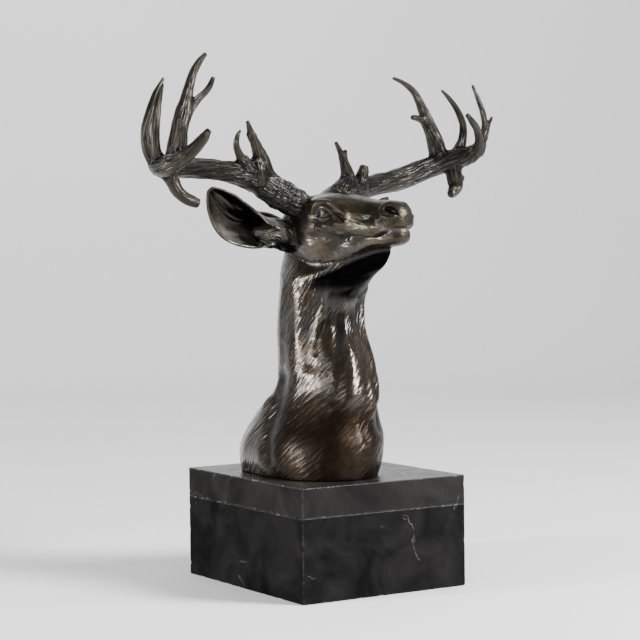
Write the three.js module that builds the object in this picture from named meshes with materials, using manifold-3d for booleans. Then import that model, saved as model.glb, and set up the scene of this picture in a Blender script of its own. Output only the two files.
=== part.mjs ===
// A bronze bust of a whitetail stag with many-pointed antlers, on a black marble plinth.
// Millimetres, +Z up, the plinth's front towards -Y, and the origin at the middle of its underside.
import * as THREE from "three";
import { mergeVertices } from "three/addons/utils/BufferGeometryUtils.js";
import Module from "manifold-3d";

const wasm = await Module();
wasm.setup();

// Driving dimensions
const PLINTH_WIDTH = 170;
const PLINTH_DEPTH = 205;
const BLOCK_HEIGHT = 74;
const SLAB_HEIGHT = 26;
const BUST_HEIGHT = 375; // from the slab to the tallest tine's tip
const HEAD_TURN = 14; // degrees that the head looks round to the stag's left
const CHEST_TURN = -10; // and the chest, away from it
const EAR_WALL = 3.2;
const EYE_RADIUS = 6.5;
const EYE_PLACE = [29.8, 25, 234.3]; // ahead, to the side and up
const EYELID_RADIUS = 1.5;
const NOSTRIL_DEPTH = 5;

// The tables below draw the stag at DRAWN_HEIGHT, in millimetres above the slab. All of its form keeps
// its share of BUST_HEIGHT.
const DRAWN_HEIGHT = 375;
const GROWTH = BUST_HEIGHT / DRAWN_HEIGHT;

// Neck sections from the slab up: height, centre x and y, how much of the way from the chest's turn to the
// head's, half width, reach forwards, reach backwards, and how square the front and the back are (2 is an
// ellipse).
const NECK = [
  { h: 0, x: -10, y: 6, turn: 0, half: 54, front: 87, back: 87, squareF: 2.2, squareB: 2.3 },
  { h: 14, x: -8, y: 6, turn: 0, half: 57.5, front: 86, back: 88, squareF: 2.2, squareB: 2.4 },
  { h: 32, x: -6, y: 4, turn: 0.04, half: 56, front: 81, back: 86, squareF: 2.2, squareB: 2.5 },
  { h: 48, x: -4, y: 2, turn: 0.08, half: 50, front: 74, back: 83, squareF: 2.1, squareB: 2.4 },
  { h: 62, x: -2, y: 0, turn: 0.17, half: 45, front: 69, back: 70, squareF: 2.1, squareB: 2.2 },
  { h: 75, x: 0, y: -3, turn: 0.25, half: 41, front: 65, back: 56, squareF: 2, squareB: 2.1 },
  { h: 92, x: 0, y: -3, turn: 0.375, half: 39, front: 59, back: 53, squareF: 2, squareB: 2 },
  { h: 110, x: 0, y: -2, turn: 0.5, half: 37.5, front: 51, back: 51, squareF: 2, squareB: 2 },
  { h: 128, x: 0, y: 0, turn: 0.625, half: 36.5, front: 41.5, back: 49, squareF: 2, squareB: 2 },
  { h: 146, x: 0, y: 0, turn: 0.79, half: 36.5, front: 37, back: 45, squareF: 2, squareB: 2 },
  { h: 160, x: 0, y: 0, turn: 0.92, half: 36, front: 40, back: 42, squareF: 1.9, squareB: 2 },
  { h: 170, x: 0, y: 0, turn: 1, half: 35, front: 51, back: 41, squareF: 1.75, squareB: 2 },
  { h: 179, x: 0, y: 0, turn: 1, half: 34, front: 63, back: 40, squareF: 1.6, squareB: 2 },
  { h: 187, x: 0, y: 0, turn: 1, half: 30, front: 77, back: 42, squareF: 1.35, squareB: 2 },
  { h: 196, x: 0, y: 0, turn: 1, half: 25, front: 85, back: 42, squareF: 1.2, squareB: 2 },
  { h: 203, x: 0, y: 0, turn: 1, half: 22, front: 86, back: 41, squareF: 1.12, squareB: 2 },
  { h: 214, x: 0, y: 0, turn: 1, half: 24, front: 62, back: 38, squareF: 1.4, squareB: 2 },
  { h: 228, x: 0, y: 0, turn: 1, half: 25, front: 40, back: 33, squareF: 2, squareB: 2 },
  { h: 239, x: 0, y: 0, turn: 1, half: 19, front: 25, back: 25, squareF: 2, squareB: 2 },
];

// Skull and upper jaw sections from the poll forwards: distance ahead of the neck's middle, top, bottom,
// height of the widest line, half width there, and how square the upper and lower halves are.
const SKULL = [
  { s: -33, top: 233, bottom: 210, mid: 221, half: 10, squareU: 2, squareL: 2 },
  { s: -31, top: 239, bottom: 205, mid: 222, half: 19, squareU: 2, squareL: 2 },
  { s: -24, top: 246, bottom: 196, mid: 224, half: 26, squareU: 2, squareL: 2 },
  { s: -12, top: 251, bottom: 187, mid: 226, half: 30, squareU: 2.1, squareL: 2 },
  { s: 2, top: 253, bottom: 181, mid: 229, half: 32.5, squareU: 2.2, squareL: 2 },
  { s: 16, top: 254, bottom: 179, mid: 233, half: 33.5, squareU: 2.3, squareL: 1.9 },
  { s: 28, top: 254, bottom: 183, mid: 235, half: 32.5, squareU: 2.3, squareL: 1.8 },
  { s: 40, top: 253, bottom: 190, mid: 234, half: 28.5, squareU: 2.2, squareL: 1.8 },
  { s: 51, top: 251.5, bottom: 198, mid: 231, half: 24, squareU: 2.2, squareL: 2.1 },
  { s: 62, top: 249.5, bottom: 205, mid: 228, half: 20.5, squareU: 2.2, squareL: 2.7 },
  { s: 73, top: 247.5, bottom: 209.5, mid: 226, half: 18, squareU: 2.2, squareL: 3 },
  { s: 82, top: 246.5, bottom: 213, mid: 225, half: 16.8, squareU: 2.3, squareL: 3 },
  { s: 90, top: 246, bottom: 215.5, mid: 226, half: 16, squareU: 2.4, squareL: 3 },
  { s: 97, top: 244.8, bottom: 217.5, mid: 227, half: 14.6, squareU: 2.4, squareL: 2.8 },
  { s: 102, top: 242.5, bottom: 218.5, mid: 228, half: 12.2, squareU: 2.2, squareL: 2.4 },
  { s: 105.5, top: 238.5, bottom: 220, mid: 228, half: 8.6, squareU: 2, squareL: 2.1 },
  { s: 107, top: 234.5, bottom: 222.5, mid: 228.5, half: 4.8, squareU: 2, squareL: 2 },
];

// Lower jaw sections from its angle to the chin
const JAW = [
  { s: 4, top: 206, bottom: 184, half: 19 },
  { s: 14, top: 208, bottom: 179, half: 22.5 },
  { s: 26, top: 210, bottom: 183, half: 22 },
  { s: 38, top: 211, bottom: 188.5, half: 20 },
  { s: 50, top: 212, bottom: 194.5, half: 17 },
  { s: 62, top: 213, bottom: 199.5, half: 14.8 },
  { s: 74, top: 215, bottom: 203.5, half: 13.4 },
  { s: 84, top: 218, bottom: 204.8, half: 12.4 },
  { s: 93, top: 220, bottom: 205.3, half: 11.6 },
  { s: 100, top: 220.5, bottom: 207, half: 10 },
  { s: 104, top: 218.5, bottom: 209.5, half: 6.5 },
  { s: 105.5, top: 216, bottom: 212, half: 3.5 },
];

// Carved swellings and hollows of the head, mirrored on both sides: place ahead, to the side and up,
// reach each way, and how far the surface stands out (or sinks in).
const HEAD_CARVING = [
  { name: "brow", s: 25, l: 30, h: 246, reach: [13, 9, 5], lift: 4 },
  { name: "eye socket", s: 34, l: 32, h: 235, reach: [10, 12, 6], lift: -3.6 },
  { name: "tear pit", s: 47, l: 26, h: 232, reach: [7, 9, 4], lift: -3 },
  { name: "cheekbone", s: 30, l: 32, h: 223, reach: [22, 12, 5], lift: 2.6 },
  { name: "temple", s: 6, l: 32, h: 240, reach: [10, 10, 9], lift: -3 },
  { name: "cheek muscle", s: 16, l: 30, h: 201, reach: [15, 16, 13], lift: 4 },
  { name: "cheek hollow", s: 52, l: 24, h: 212, reach: [13, 12, 6], lift: -2.6 },
  { name: "upper lip", s: 86, l: 17, h: 222, reach: [14, 8, 5], lift: 2 },
  { name: "bridge side", s: 72, l: 17, h: 239, reach: [18, 9, 5], lift: -1.6 },
  { name: "nostril wing", s: 96, l: 14, h: 235.5, reach: [9, 7, 7], lift: 2.6 },
  { name: "forehead", s: 20, l: 0, h: 256, reach: [20, 12, 8], lift: -1.5 },
];

// Muscles and grooves of the neck: side angle at the top and at the bottom of each run, in degrees from
// straight ahead towards the stag's left, the heights it runs between, its reach each way and its lift.
const NECK_CARVING = [
  { name: "windpipe", from: 6, to: 4, top: 172, foot: 40, reach: 13, lift: 3.4 },
  { name: "right strap muscle", from: -46, to: -12, top: 178, foot: 55, reach: 9, lift: 3.4 },
  { name: "left strap muscle", from: 46, to: 18, top: 178, foot: 55, reach: 9, lift: 3.4 },
  { name: "right vein groove", from: -64, to: -32, top: 176, foot: 40, reach: 9, lift: -2.4 },
  { name: "left vein groove", from: 64, to: 34, top: 176, foot: 40, reach: 9, lift: -2.4 },
  { name: "right throat groove", from: -24, to: -22, top: 168, foot: 90, reach: 6, lift: -1.5 },
  { name: "left throat groove", from: 28, to: 24, top: 168, foot: 90, reach: 6, lift: -1.5 },
  { name: "right side muscle", from: -92, to: -62, top: 180, foot: 30, reach: 15, lift: 3 },
  { name: "left side muscle", from: 92, to: 62, top: 180, foot: 30, reach: 15, lift: 3 },
  { name: "right shoulder edge", from: -100, to: -128, top: 78, foot: -10, reach: 15, lift: 4 },
  { name: "left shoulder edge", from: 96, to: 118, top: 46, foot: -4, reach: 13, lift: 5 },
  { name: "right shoulder fold", from: -84, to: -104, top: 84, foot: 0, reach: 9, lift: -3.4 },
  { name: "left shoulder fold", from: 78, to: 92, top: 60, foot: 0, reach: 8, lift: -3 },
];

// Antler limbs, each a line of [ahead, to the stag's left, up, radius]
const RIGHT_ANTLER = {
  beam: [
    [4, -17, 238, 11], [-4, -39, 250, 13.6], [-9, -54, 258.5, 13], [-13, -68, 266, 11.6],
    [-15, -86, 271, 10.4],
    [-15, -110, 274, 9], [-12, -136, 275, 8.7], [-6, -161, 275, 8.6], [4, -187, 275, 9],
    [17, -207, 275, 8.9],
    [33, -214, 275, 8.4], [46, -212, 279, 7], [56, -206, 287, 5.6], [62, -200, 296, 4.3],
    [65, -196, 303, 2.6],
  ],
  outerTine: [[12, -206, 275, 6.6], [10, -215, 289, 4.6], [9, -216, 305, 3.8], [9, -210, 323, 3.5],
    [9, -204, 336, 2.8],
    [10, -196, 349, 1.4]],
  outerTwin: [[22, -213, 277, 6], [25, -219, 290, 4.1], [25, -219, 304, 3.8], [24, -216, 321, 3.3],
    [22, -211, 334, 2.5],
    [18, -204, 343, 1.3]],
  forkedTine: [[8, -184, 279, 9], [8, -180, 298, 7.6], [7, -173, 318, 7.2], [5, -165, 338, 4.8],
    [3, -157, 354, 3.9],
    [1, -148, 365, 3.1], [0, -139, 373, 2]],
  forkBranch: [[6, -171, 318, 6], [8, -157, 332, 3.6], [10, -146, 342, 2.8], [12, -141, 352, 2]],
  bluntTine: [[32, -203, 277, 8.4], [39, -204, 292, 6], [43, -206, 303, 4.6], [45, -209, 312, 2.8]],
  dropTine: [[14, -197, 273, 8], [16, -193, 263, 6.2], [18, -190, 255, 5.4], [20, -183, 249, 5.2],
    [22, -177, 246, 5],
    [24, -172, 244, 4]],
  web: [[-10, -68, 263, 8.6], [-8, -71, 276, 9], [-7, -74, 284, 5.6]],
  browTine: [[-11, -74, 269, 7], [-9, -89, 284, 4.3], [-7, -97, 295, 3], [-6, -97, 303, 2.3],
    [-5, -94, 309, 1.3]],
  browTwin: [[-10, -56, 264, 9.4], [-7, -67, 284, 7], [-5, -75, 298, 4.6], [-2, -83, 309, 2.6],
    [-1, -88, 317, 1.4]],
};
const LEFT_ANTLER = {
  beam: [
    [4, 16, 238, 11], [-3, 32, 252.5, 13], [-7, 46, 258, 11.8], [-10, 67, 260, 10.2], [-12, 95, 264, 10.1],
    [-11, 122, 269, 10.5], [-8, 148, 277, 10.2], [-2, 166, 283, 10], [7, 178, 288, 9.7], [18, 186, 291, 9],
    [28, 190, 296, 7.2], [34, 192, 303, 5],
  ],
  forwardTine: [[22, 188, 292, 6.4], [36, 184, 302, 4.5], [42, 175, 314, 3.7], [46, 163, 322, 3.2],
    [49, 152, 328, 2.3]],
  knobTine: [[-2, 171, 284, 10.4], [-3, 165, 305, 7.8], [-5, 157, 323, 6.6], [-6, 148, 340, 4.6],
    [-8, 140, 353, 3.4],
    [-9, 126, 361, 2.3], [-10, 113, 365, 1.6]],
  knob: [[-5, 156, 324, 4.9], [-4, 143, 327, 3.3], [-3, 132, 328, 2.5]],
  middleTine: [[7, 183, 289, 8], [8, 192, 306, 4.7], [9, 193, 321, 3.7], [10, 184, 335, 3.2],
    [11, 171, 346, 2.4],
    [12, 158, 354, 1.3]],
  outerTine: [[27, 192, 294, 6], [30, 198, 309, 4], [28, 203, 320, 3.4], [25, 204, 333, 2.9],
    [22, 201, 346, 2.4],
    [19, 196, 360, 1.6]],
  outerBranch: [[30, 198, 310, 4], [29, 206, 320, 2.5], [28, 214, 329, 1.5]],
  dropTine: [[6, 179, 286, 9], [7, 181, 273, 7.8], [8, 182, 263, 7], [9, 177, 257, 5.6], [10, 172, 254, 4]],
  dropBump: [[7, 184, 271, 5], [8, 192, 270, 3.4]],
  browTine: [[-6, 46, 262, 8.6], [-4, 40, 276, 5.7], [-2, 33, 287, 3.8], [0, 27, 294, 2.6],
    [1, 21, 301, 1.7]],
  browBump: [[-2, 34, 287, 3.3], [-2, 37, 294, 2.2]],
  browTwin: [[-7, 59, 259, 8.4], [-4, 62, 272, 6], [-3, 63, 280, 4.2]],
};

// Ear sections from the root to the tip, at shares of its length: the middle of its mouth (ahead, to the
// side and up), half width, depth of the cup, how far its walls wrap round in degrees to each side, and how
// far the cup looks down.
const EAR = [
  { t: 0, s: -13, l: 24, h: 214, half: 12, depth: 12, wrap: 150, down: 0.8 },
  { t: 0.14, s: -15, l: 42, h: 218.5, half: 12, depth: 13.5, wrap: 130, down: 0.85 },
  { t: 0.3, s: -16, l: 61, h: 219, half: 15.5, depth: 16, wrap: 112, down: 0.8 },
  { t: 0.45, s: -17.5, l: 76, h: 223, half: 18.5, depth: 15.5, wrap: 101, down: 0.6 },
  { t: 0.6, s: -19, l: 89, h: 230, half: 19.5, depth: 13, wrap: 95, down: 0.4 },
  { t: 0.76, s: -20.5, l: 101, h: 241.5, half: 16.5, depth: 9.5, wrap: 90, down: 0.28 },
  { t: 0.9, s: -21.5, l: 110, h: 251.5, half: 10.5, depth: 6, wrap: 88, down: 0.2 },
  { t: 1, s: -22, l: 115.5, h: 258, half: 4, depth: 2.6, wrap: 85, down: 0.2 },
];
// The thick root that closes the ear's cup, as a limb's line
const EAR_ROOT = [
  [-13, 22, 213, 13], [-14, 36, 216, 12.6], [-15, 48, 217.5, 11.6], [-16, 57, 218.5, 9],
  [-17, 63, 219.5, 5.5],
];
const LEFT_EAR_DROOP = 5; // degrees that the left ear hangs below the right one
const EAR_AHEAD = 0.92; // how far the cup looks ahead
const EAR_OUT = 0.22; // and outwards

// Facets
const NECK_SIDES = 38;
const NECK_STEPS = 25;
const SKULL_SIDES = 30;
const SKULL_STEPS = 29;
const JAW_SIDES = 16;
const JAW_STEPS = 12;
const BEAM_SIDES = 12;
const TINE_SIDES = 8;
const LIMB_STEPS = 1.3; // for each point of a limb's line
const WELD = 0.02; // points closer than this where two masses cross are one
const EAR_STEPS = 10;
const EAR_TURNS = 10;

const radians = THREE.MathUtils.degToRad;

// The value of one column of a table at x, on a cubic through its rows.
function column(table, key, name) {
  const xs = table.map((row) => row[key]);
  const ys = table.map((row) => row[name]);
  const last = xs.length - 1;
  const slope = (i) => (ys[i + 1] - ys[i]) / (xs[i + 1] - xs[i]);
  const tangent = (i) => (i === 0 ? slope(0) : i === last ? slope(last - 1) : (slope(i - 1) + slope(i)) / 2);
  return (x) => {
    let i = 0;
    while (i < last - 1 && x > xs[i + 1]) i += 1;
    const gap = xs[i + 1] - xs[i];
    const u = THREE.MathUtils.clamp((x - xs[i]) / gap, 0, 1);
    return (
      ys[i] * (1 + 2 * u) * (1 - u) ** 2 +
      tangent(i) * gap * u * (1 - u) ** 2 +
      ys[i + 1] * u * u * (3 - 2 * u) +
      tangent(i + 1) * gap * u * u * (u - 1)
    );
  };
}

// All columns of a table as functions of its key.
const columns = (table, key) =>
  Object.fromEntries(
    Object.keys(table[0])
      .filter((name) => name !== key)
      .map((name) => [name, column(table, key, name)]),
  );

// A cosine or sine raised to a superellipse's power, with its sign kept.
const squared = (value, square) => Math.sign(value) * Math.abs(value) ** (2 / square);

// A bell of height 1 at 0 that falls off over a reach of 1.
const bell = (distance) => Math.exp(-distance * distance);

// A closed body through rings of points. A ring that is one wall, out along its outer face and back along
// its inner one, is closed at each end by a strip across the wall, and any other ring by a fan.
function loft(rings, wall = false) {
  const sides = rings[0].length;
  const points = rings.flat();
  const faces = [];
  for (let i = 0; i < rings.length - 1; i += 1)
    for (let j = 0; j < sides; j += 1) {
      const [a, b] = [i * sides + j, i * sides + ((j + 1) % sides)];
      const [c, d] = [b + sides, a + sides];
      const straight = points[a].distanceTo(points[c]) < points[b].distanceTo(points[d]);
      faces.push(...(straight ? [a, b, c, a, c, d] : [a, b, d, b, c, d]));
    }
  for (const [ring, start, way] of [[rings[0], 0, -1], [rings.at(-1), points.length - sides, 1]]) {
    const cap = [];
    for (let j = 0; j < sides; j += 1) {
      if (!wall) cap.push([points.length, start + j, start + ((j + 1) % sides)]);
      else if (j < sides / 2 - 1) {
        const [a, b, c, d] = [j, j + 1, sides - 2 - j, sides - 1 - j].map((k) => start + k);
        cap.push([a, b, c], [a, c, d]);
      }
    }
    if (!wall) points.push(ring.reduce((sum, p) => sum.add(p), new THREE.Vector3()).divideScalar(sides));
    faces.push(...cap.flatMap(([a, b, c]) => (way > 0 ? [a, b, c] : [a, c, b])));
  }
  return body(points, faces);
}

// Points and faces as a geometry whose faces point out.
function body(points, faces) {
  let volume = 0;
  const normal = new THREE.Vector3();
  for (let i = 0; i < faces.length; i += 3) {
    const [a, b, c] = [points[faces[i]], points[faces[i + 1]], points[faces[i + 2]]];
    volume += normal.crossVectors(b, c).dot(a);
  }
  const index = volume < 0 ? faces.toReversed() : faces;
  return new THREE.BufferGeometry().setFromPoints(points).setIndex(index);
}

// Places a point given ahead, to the left and up in the turned head's own directions.
function inHead(s, l, h) {
  const turn = radians(HEAD_TURN);
  return new THREE.Vector3(s * Math.sin(turn) + l * Math.cos(turn), -s * Math.cos(turn) + l * Math.sin(turn), h);
}

// One level ring of the neck.
function neckRing(at, h) {
  const turn = radians(THREE.MathUtils.lerp(CHEST_TURN, HEAD_TURN, at.turn(h)));
  const ring = [];
  for (let j = 0; j < NECK_SIDES; j += 1) {
    const angle = (2 * Math.PI * j) / NECK_SIDES;
    const ahead = Math.cos(angle);
    const square = ahead > 0 ? at.squareF(h) : at.squareB(h);
    const reach = ahead > 0 ? at.front(h) : at.back(h);
    const f = reach * squared(ahead, square);
    const l = at.half(h) * squared(Math.sin(angle), square);
    const lift = neckCarving(Math.atan2(l, f), Math.hypot(l, f), h);
    const grown = 1 + lift / Math.hypot(l, f);
    ring.push(
      new THREE.Vector3(
        at.x(h) + grown * (f * Math.sin(turn) + l * Math.cos(turn)),
        at.y(h) + grown * (-f * Math.cos(turn) + l * Math.sin(turn)),
        h,
      ),
    );
  }
  return ring;
}

// How far the neck's muscles stand out at a side angle, a radius and a height.
function neckCarving(angle, radius, h) {
  return NECK_CARVING.reduce((sum, run) => {
    const share = THREE.MathUtils.clamp((run.top - h) / (run.top - run.foot), 0, 1);
    const middle = radians(THREE.MathUtils.lerp(run.from, run.to, share));
    const across = bell(((angle - middle) * radius) / run.reach);
    const beyond = Math.max(h - run.top, run.foot - h, 0) / run.reach;
    const within = THREE.MathUtils.clamp(Math.min(run.top - h, h - run.foot) / run.reach + 0.5, 0, 1);
    return sum + run.lift * across * within * bell(beyond);
  }, 0);
}

function neck() {
  const at = columns(NECK, "h");
  const top = NECK.at(-1).h;
  const rings = [];
  for (let i = 0; i <= NECK_STEPS; i += 1) rings.push(neckRing(at, (top * i) / NECK_STEPS));
  return loft(rings);
}

// How far the carving lifts the head's surface at a place.
function headCarving(s, l, h) {
  return HEAD_CARVING.reduce((sum, { s: ahead, l: side, h: up, reach, lift }) => {
    const away = Math.hypot((s - ahead) / reach[0], (Math.abs(l) - side) / reach[1], (h - up) / reach[2]);
    return sum + lift * bell(away);
  }, 0);
}

// The skull and upper jaw, with sections set closer where the muzzle rounds off.
function skull() {
  const at = columns(SKULL, "s");
  const [back, front] = [SKULL[0].s, SKULL.at(-1).s];
  const rings = [];
  for (let i = 0; i <= SKULL_STEPS; i += 1) {
    const s = back + (front - back) * Math.sin((Math.PI / 2) * (i / SKULL_STEPS)) ** 0.9;
    const mid = at.mid(s);
    const ring = [];
    for (let j = 0; j < SKULL_SIDES; j += 1) {
      const angle = (2 * Math.PI * j) / SKULL_SIDES;
      const up = Math.sin(angle);
      const square = up > 0 ? at.squareU(s) : at.squareL(s);
      const reach = up > 0 ? at.top(s) - mid : mid - at.bottom(s);
      const l = at.half(s) * squared(Math.cos(angle), square);
      const rise = reach * squared(up, square);
      const grown = 1 + headCarving(s, l, mid + rise) / Math.hypot(l, rise);
      ring.push(inHead(s, l * grown, mid + rise * grown));
    }
    rings.push(ring);
  }
  return loft(rings);
}

function lowerJaw() {
  const at = columns(JAW, "s");
  const [back, front] = [JAW[0].s, JAW.at(-1).s];
  const rings = [];
  for (let i = 0; i <= JAW_STEPS; i += 1) {
    const s = back + ((front - back) * i) / JAW_STEPS;
    const [mid, rise] = [(at.top(s) + at.bottom(s)) / 2, (at.top(s) - at.bottom(s)) / 2];
    const ring = [];
    for (let j = 0; j < JAW_SIDES; j += 1) {
      const angle = (2 * Math.PI * j) / JAW_SIDES;
      const out = at.half(s) * squared(Math.cos(angle), 2.4);
      ring.push(inHead(s, out, mid + rise * squared(Math.sin(angle), 2.4)));
    }
    rings.push(ring);
  }
  return loft(rings);
}

// A round limb along a line of [ahead, left, up, radius], kept from twisting by carrying its side along.
function limb(line, sides) {
  const path = new THREE.CatmullRomCurve3(line.map(([s, l, h]) => inHead(s, l, h)), false, "catmullrom", 0.5);
  const girth = column(line.map(([, , , radius], i) => ({ i, radius })), "i", "radius");
  const steps = Math.max(2, Math.round((line.length - 1) * LIMB_STEPS));
  const side = new THREE.Vector3(1, 0, 0);
  const rings = [];
  for (let i = 0; i <= steps; i += 1) {
    const along = path.getTangent(i / steps);
    side.addScaledVector(along, -side.dot(along)).normalize();
    const over = new THREE.Vector3().crossVectors(along, side);
    const centre = path.getPoint(i / steps);
    const radius = girth(((line.length - 1) * i) / steps);
    rings.push(
      Array.from({ length: sides }, (_, j) => {
        const angle = (2 * Math.PI * j) / sides;
        return centre
          .clone()
          .addScaledVector(side, radius * Math.cos(angle))
          .addScaledVector(over, radius * Math.sin(angle));
      }),
    );
  }
  return loft(rings);
}

// An ear: a leaf rolled into a cup, with an outer and an inner wall joined round the rim.
function ear(side) {
  const at = columns(EAR, "t");
  const droop = side > 0 ? -radians(LEFT_EAR_DROOP) : 0;
  const forward = inHead(1, 0, 0);
  const hang = (vector) => vector.applyAxisAngle(forward, droop);
  const root = inHead(EAR[0].s, side * EAR[0].l, EAR[0].h);
  const middle = (t) => hang(inHead(at.s(t), side * at.l(t), at.h(t)).sub(root)).add(root);
  const rings = [];
  for (let i = 0; i <= EAR_STEPS; i += 1) {
    const t = i / EAR_STEPS;
    const along = middle(Math.min(t + 0.02, 1)).sub(middle(Math.max(t - 0.02, 0))).normalize();
    const open = hang(inHead(EAR_AHEAD, side * EAR_OUT, -at.down(t)));
    open.addScaledVector(along, -open.dot(along)).normalize();
    const across = new THREE.Vector3().crossVectors(along, open);
    const wall = (inset, way) =>
      Array.from({ length: EAR_TURNS + 1 }, (_, j) => {
        const angle = way * radians(at.wrap(t)) * ((2 * j) / EAR_TURNS - 1);
        return middle(t)
          .addScaledVector(across, Math.max(at.half(t) - inset, 0.3) * Math.sin(angle))
          .addScaledVector(open, -Math.max(at.depth(t) - inset, 0.2) * Math.cos(angle));
      });
    rings.push([...wall(0, 1), ...wall(EAR_WALL, -1)]);
  }
  return loft(rings, true);
}

// The eyeball and the rim of lids round it.
function eye(side) {
  const ball = new THREE.SphereGeometry(EYE_RADIUS, 12, 8);
  const lids = new THREE.TorusGeometry(EYE_RADIUS, EYELID_RADIUS, 5, 12).scale(1.25, 0.85, 1);
  const face = inHead(0.25, side, 0.05).normalize();
  const aim = new THREE.Matrix4().lookAt(face, new THREE.Vector3(), new THREE.Vector3(0, 0, 1));
  const [ahead, out, up] = EYE_PLACE;
  const place = inHead(ahead, side * out, up);
  const rim = place.clone().addScaledVector(face, EYE_RADIUS / 2);
  return [ball.applyMatrix4(aim).translate(...place), lids.applyMatrix4(aim).translate(...rim)];
}

// The hollow of a nostril.
function nostril(side) {
  const hollow = new THREE.SphereGeometry(1, 10, 6).scale(4.6, NOSTRIL_DEPTH, 4);
  hollow.rotateZ(radians(HEAD_TURN) + side * radians(62));
  return hollow.translate(...inHead(98, side * 14.5, 236));
}

// A closed geometry as a solid that can be joined and cut.
function solid(geometry) {
  const plain = geometry.clone().deleteAttribute("normal").deleteAttribute("uv");
  const merged = mergeVertices(plain, 1e-4);
  return new wasm.Manifold(
    new wasm.Mesh({
      numProp: 3,
      vertProperties: new Float32Array(merged.attributes.position.array),
      triVerts: new Uint32Array(merged.index.array),
    }),
  );
}

// The whole cast bronze: every mass joined, then the nostrils sunk in.
function castStag() {
  const masses = [neck(), skull(), lowerJaw()];
  for (const side of [-1, 1]) {
    const root = EAR_ROOT.map(([s, l, h, radius]) => [s, side * l, h, radius]);
    masses.push(ear(side), limb(root, BEAM_SIDES), ...eye(side));
  }
  for (const antler of [RIGHT_ANTLER, LEFT_ANTLER])
    for (const [name, line] of Object.entries(antler))
      masses.push(limb(line, name === "beam" ? BEAM_SIDES : TINE_SIDES));
  let stag = masses.map(solid).reduce((whole, mass) => whole.add(mass));
  for (const side of [-1, 1]) stag = stag.subtract(solid(nostril(side)));
  const { vertProperties, triVerts } = stag.getMesh();
  const geometry = new THREE.BufferGeometry();
  geometry.setAttribute("position", new THREE.BufferAttribute(vertProperties, 3));
  geometry.setIndex(new THREE.BufferAttribute(triVerts, 1));
  return welded(geometry).scale(GROWTH, GROWTH, GROWTH);
}

// Joins points that all but touch where two masses cross, and drops the faces that close up there.
function welded(geometry) {
  const merged = mergeVertices(geometry, WELD);
  const corners = merged.index.array;
  const faces = [];
  for (let i = 0; i < corners.length; i += 3) {
    const [a, b, c] = corners.slice(i, i + 3);
    if (a !== b && b !== c && c !== a) faces.push(a, b, c);
  }
  return merged.setIndex(faces);
}

// A named piece in its own material, set at a height.
function piece(name, geometry, material, height) {
  const mesh = new THREE.Mesh(geometry, material);
  mesh.name = name;
  mesh.position.z = height;
  return mesh;
}

const bronze = new THREE.MeshStandardMaterial({ color: 0x4a4034, roughness: 0.38, metalness: 1 });
const marble = new THREE.MeshStandardMaterial({ color: 0x262625, roughness: 0.35, metalness: 0 });

const bust = new THREE.Group();
bust.add(
  piece("plinth_block", new THREE.BoxGeometry(PLINTH_WIDTH, PLINTH_DEPTH, BLOCK_HEIGHT), marble, BLOCK_HEIGHT / 2),
  piece(
    "plinth_slab",
    new THREE.BoxGeometry(PLINTH_WIDTH, PLINTH_DEPTH, SLAB_HEIGHT),
    marble,
    BLOCK_HEIGHT + SLAB_HEIGHT / 2,
  ),
  piece("bronze_stag", castStag(), bronze, BLOCK_HEIGHT + SLAB_HEIGHT),
);

export default bust;
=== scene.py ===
# %% [markdown]
# # A bronze stag's bust on a black marble plinth
# The real object is a table bronze: a whitetail stag's head and neck with wide antlers, cast in one piece,
# patinated dark brown, and set on two stones of black marble. This lesson builds the casting as a sculptor
# would. Each mass (neck, skull, jaw, ear, antler limb) is a surface worked out with numpy, and all of them
# are then melted together like wax before the small carving is cut.

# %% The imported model
import itertools

import bpy
import numpy as np
import openvdb
from mathutils import Matrix, Vector


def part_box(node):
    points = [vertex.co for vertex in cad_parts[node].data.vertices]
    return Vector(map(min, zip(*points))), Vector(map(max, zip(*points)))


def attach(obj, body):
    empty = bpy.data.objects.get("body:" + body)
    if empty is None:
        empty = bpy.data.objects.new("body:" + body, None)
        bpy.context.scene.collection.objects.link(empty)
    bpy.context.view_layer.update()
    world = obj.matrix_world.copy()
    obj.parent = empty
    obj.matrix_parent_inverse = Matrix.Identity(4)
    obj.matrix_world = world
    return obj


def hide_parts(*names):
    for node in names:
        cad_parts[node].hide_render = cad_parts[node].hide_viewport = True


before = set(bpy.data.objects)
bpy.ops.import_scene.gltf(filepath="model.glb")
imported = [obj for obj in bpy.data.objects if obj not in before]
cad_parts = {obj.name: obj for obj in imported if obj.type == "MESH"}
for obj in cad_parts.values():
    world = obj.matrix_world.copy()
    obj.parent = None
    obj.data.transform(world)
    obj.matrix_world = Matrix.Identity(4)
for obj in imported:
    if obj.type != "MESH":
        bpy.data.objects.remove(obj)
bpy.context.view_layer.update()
stag_low, stag_high = (np.array(corner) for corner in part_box("bronze_stag"))
DRAWN_TOP = 374.4  # the tallest tine of the drawing below, in millimetres above the slab
unit = (stag_high[2] - stag_low[2]) / DRAWN_TOP
print("one drawn millimetre is", round(unit * 1000, 4), "mm on this bust")

# %% [markdown]
# ## How fine the wax is
# The masses are melted together on a grid of small cubes. The finished casting is thinned to a sensible
# number of triangles.

# %% Grid and mesh fineness
CUBE = 0.8  # mm
MOST_TRIANGLES = 192000
BAND = 7  # cubes either side of a surface in which distances are kept
print("wax cubes of", CUBE, "mm")

# %% [markdown]
# ## Smooth curves through a table
# A sculptor sets a few sections and lets the form flow between them. Here each column of a table becomes a
# smooth curve, so a handful of rows is enough for a whole neck.


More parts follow.
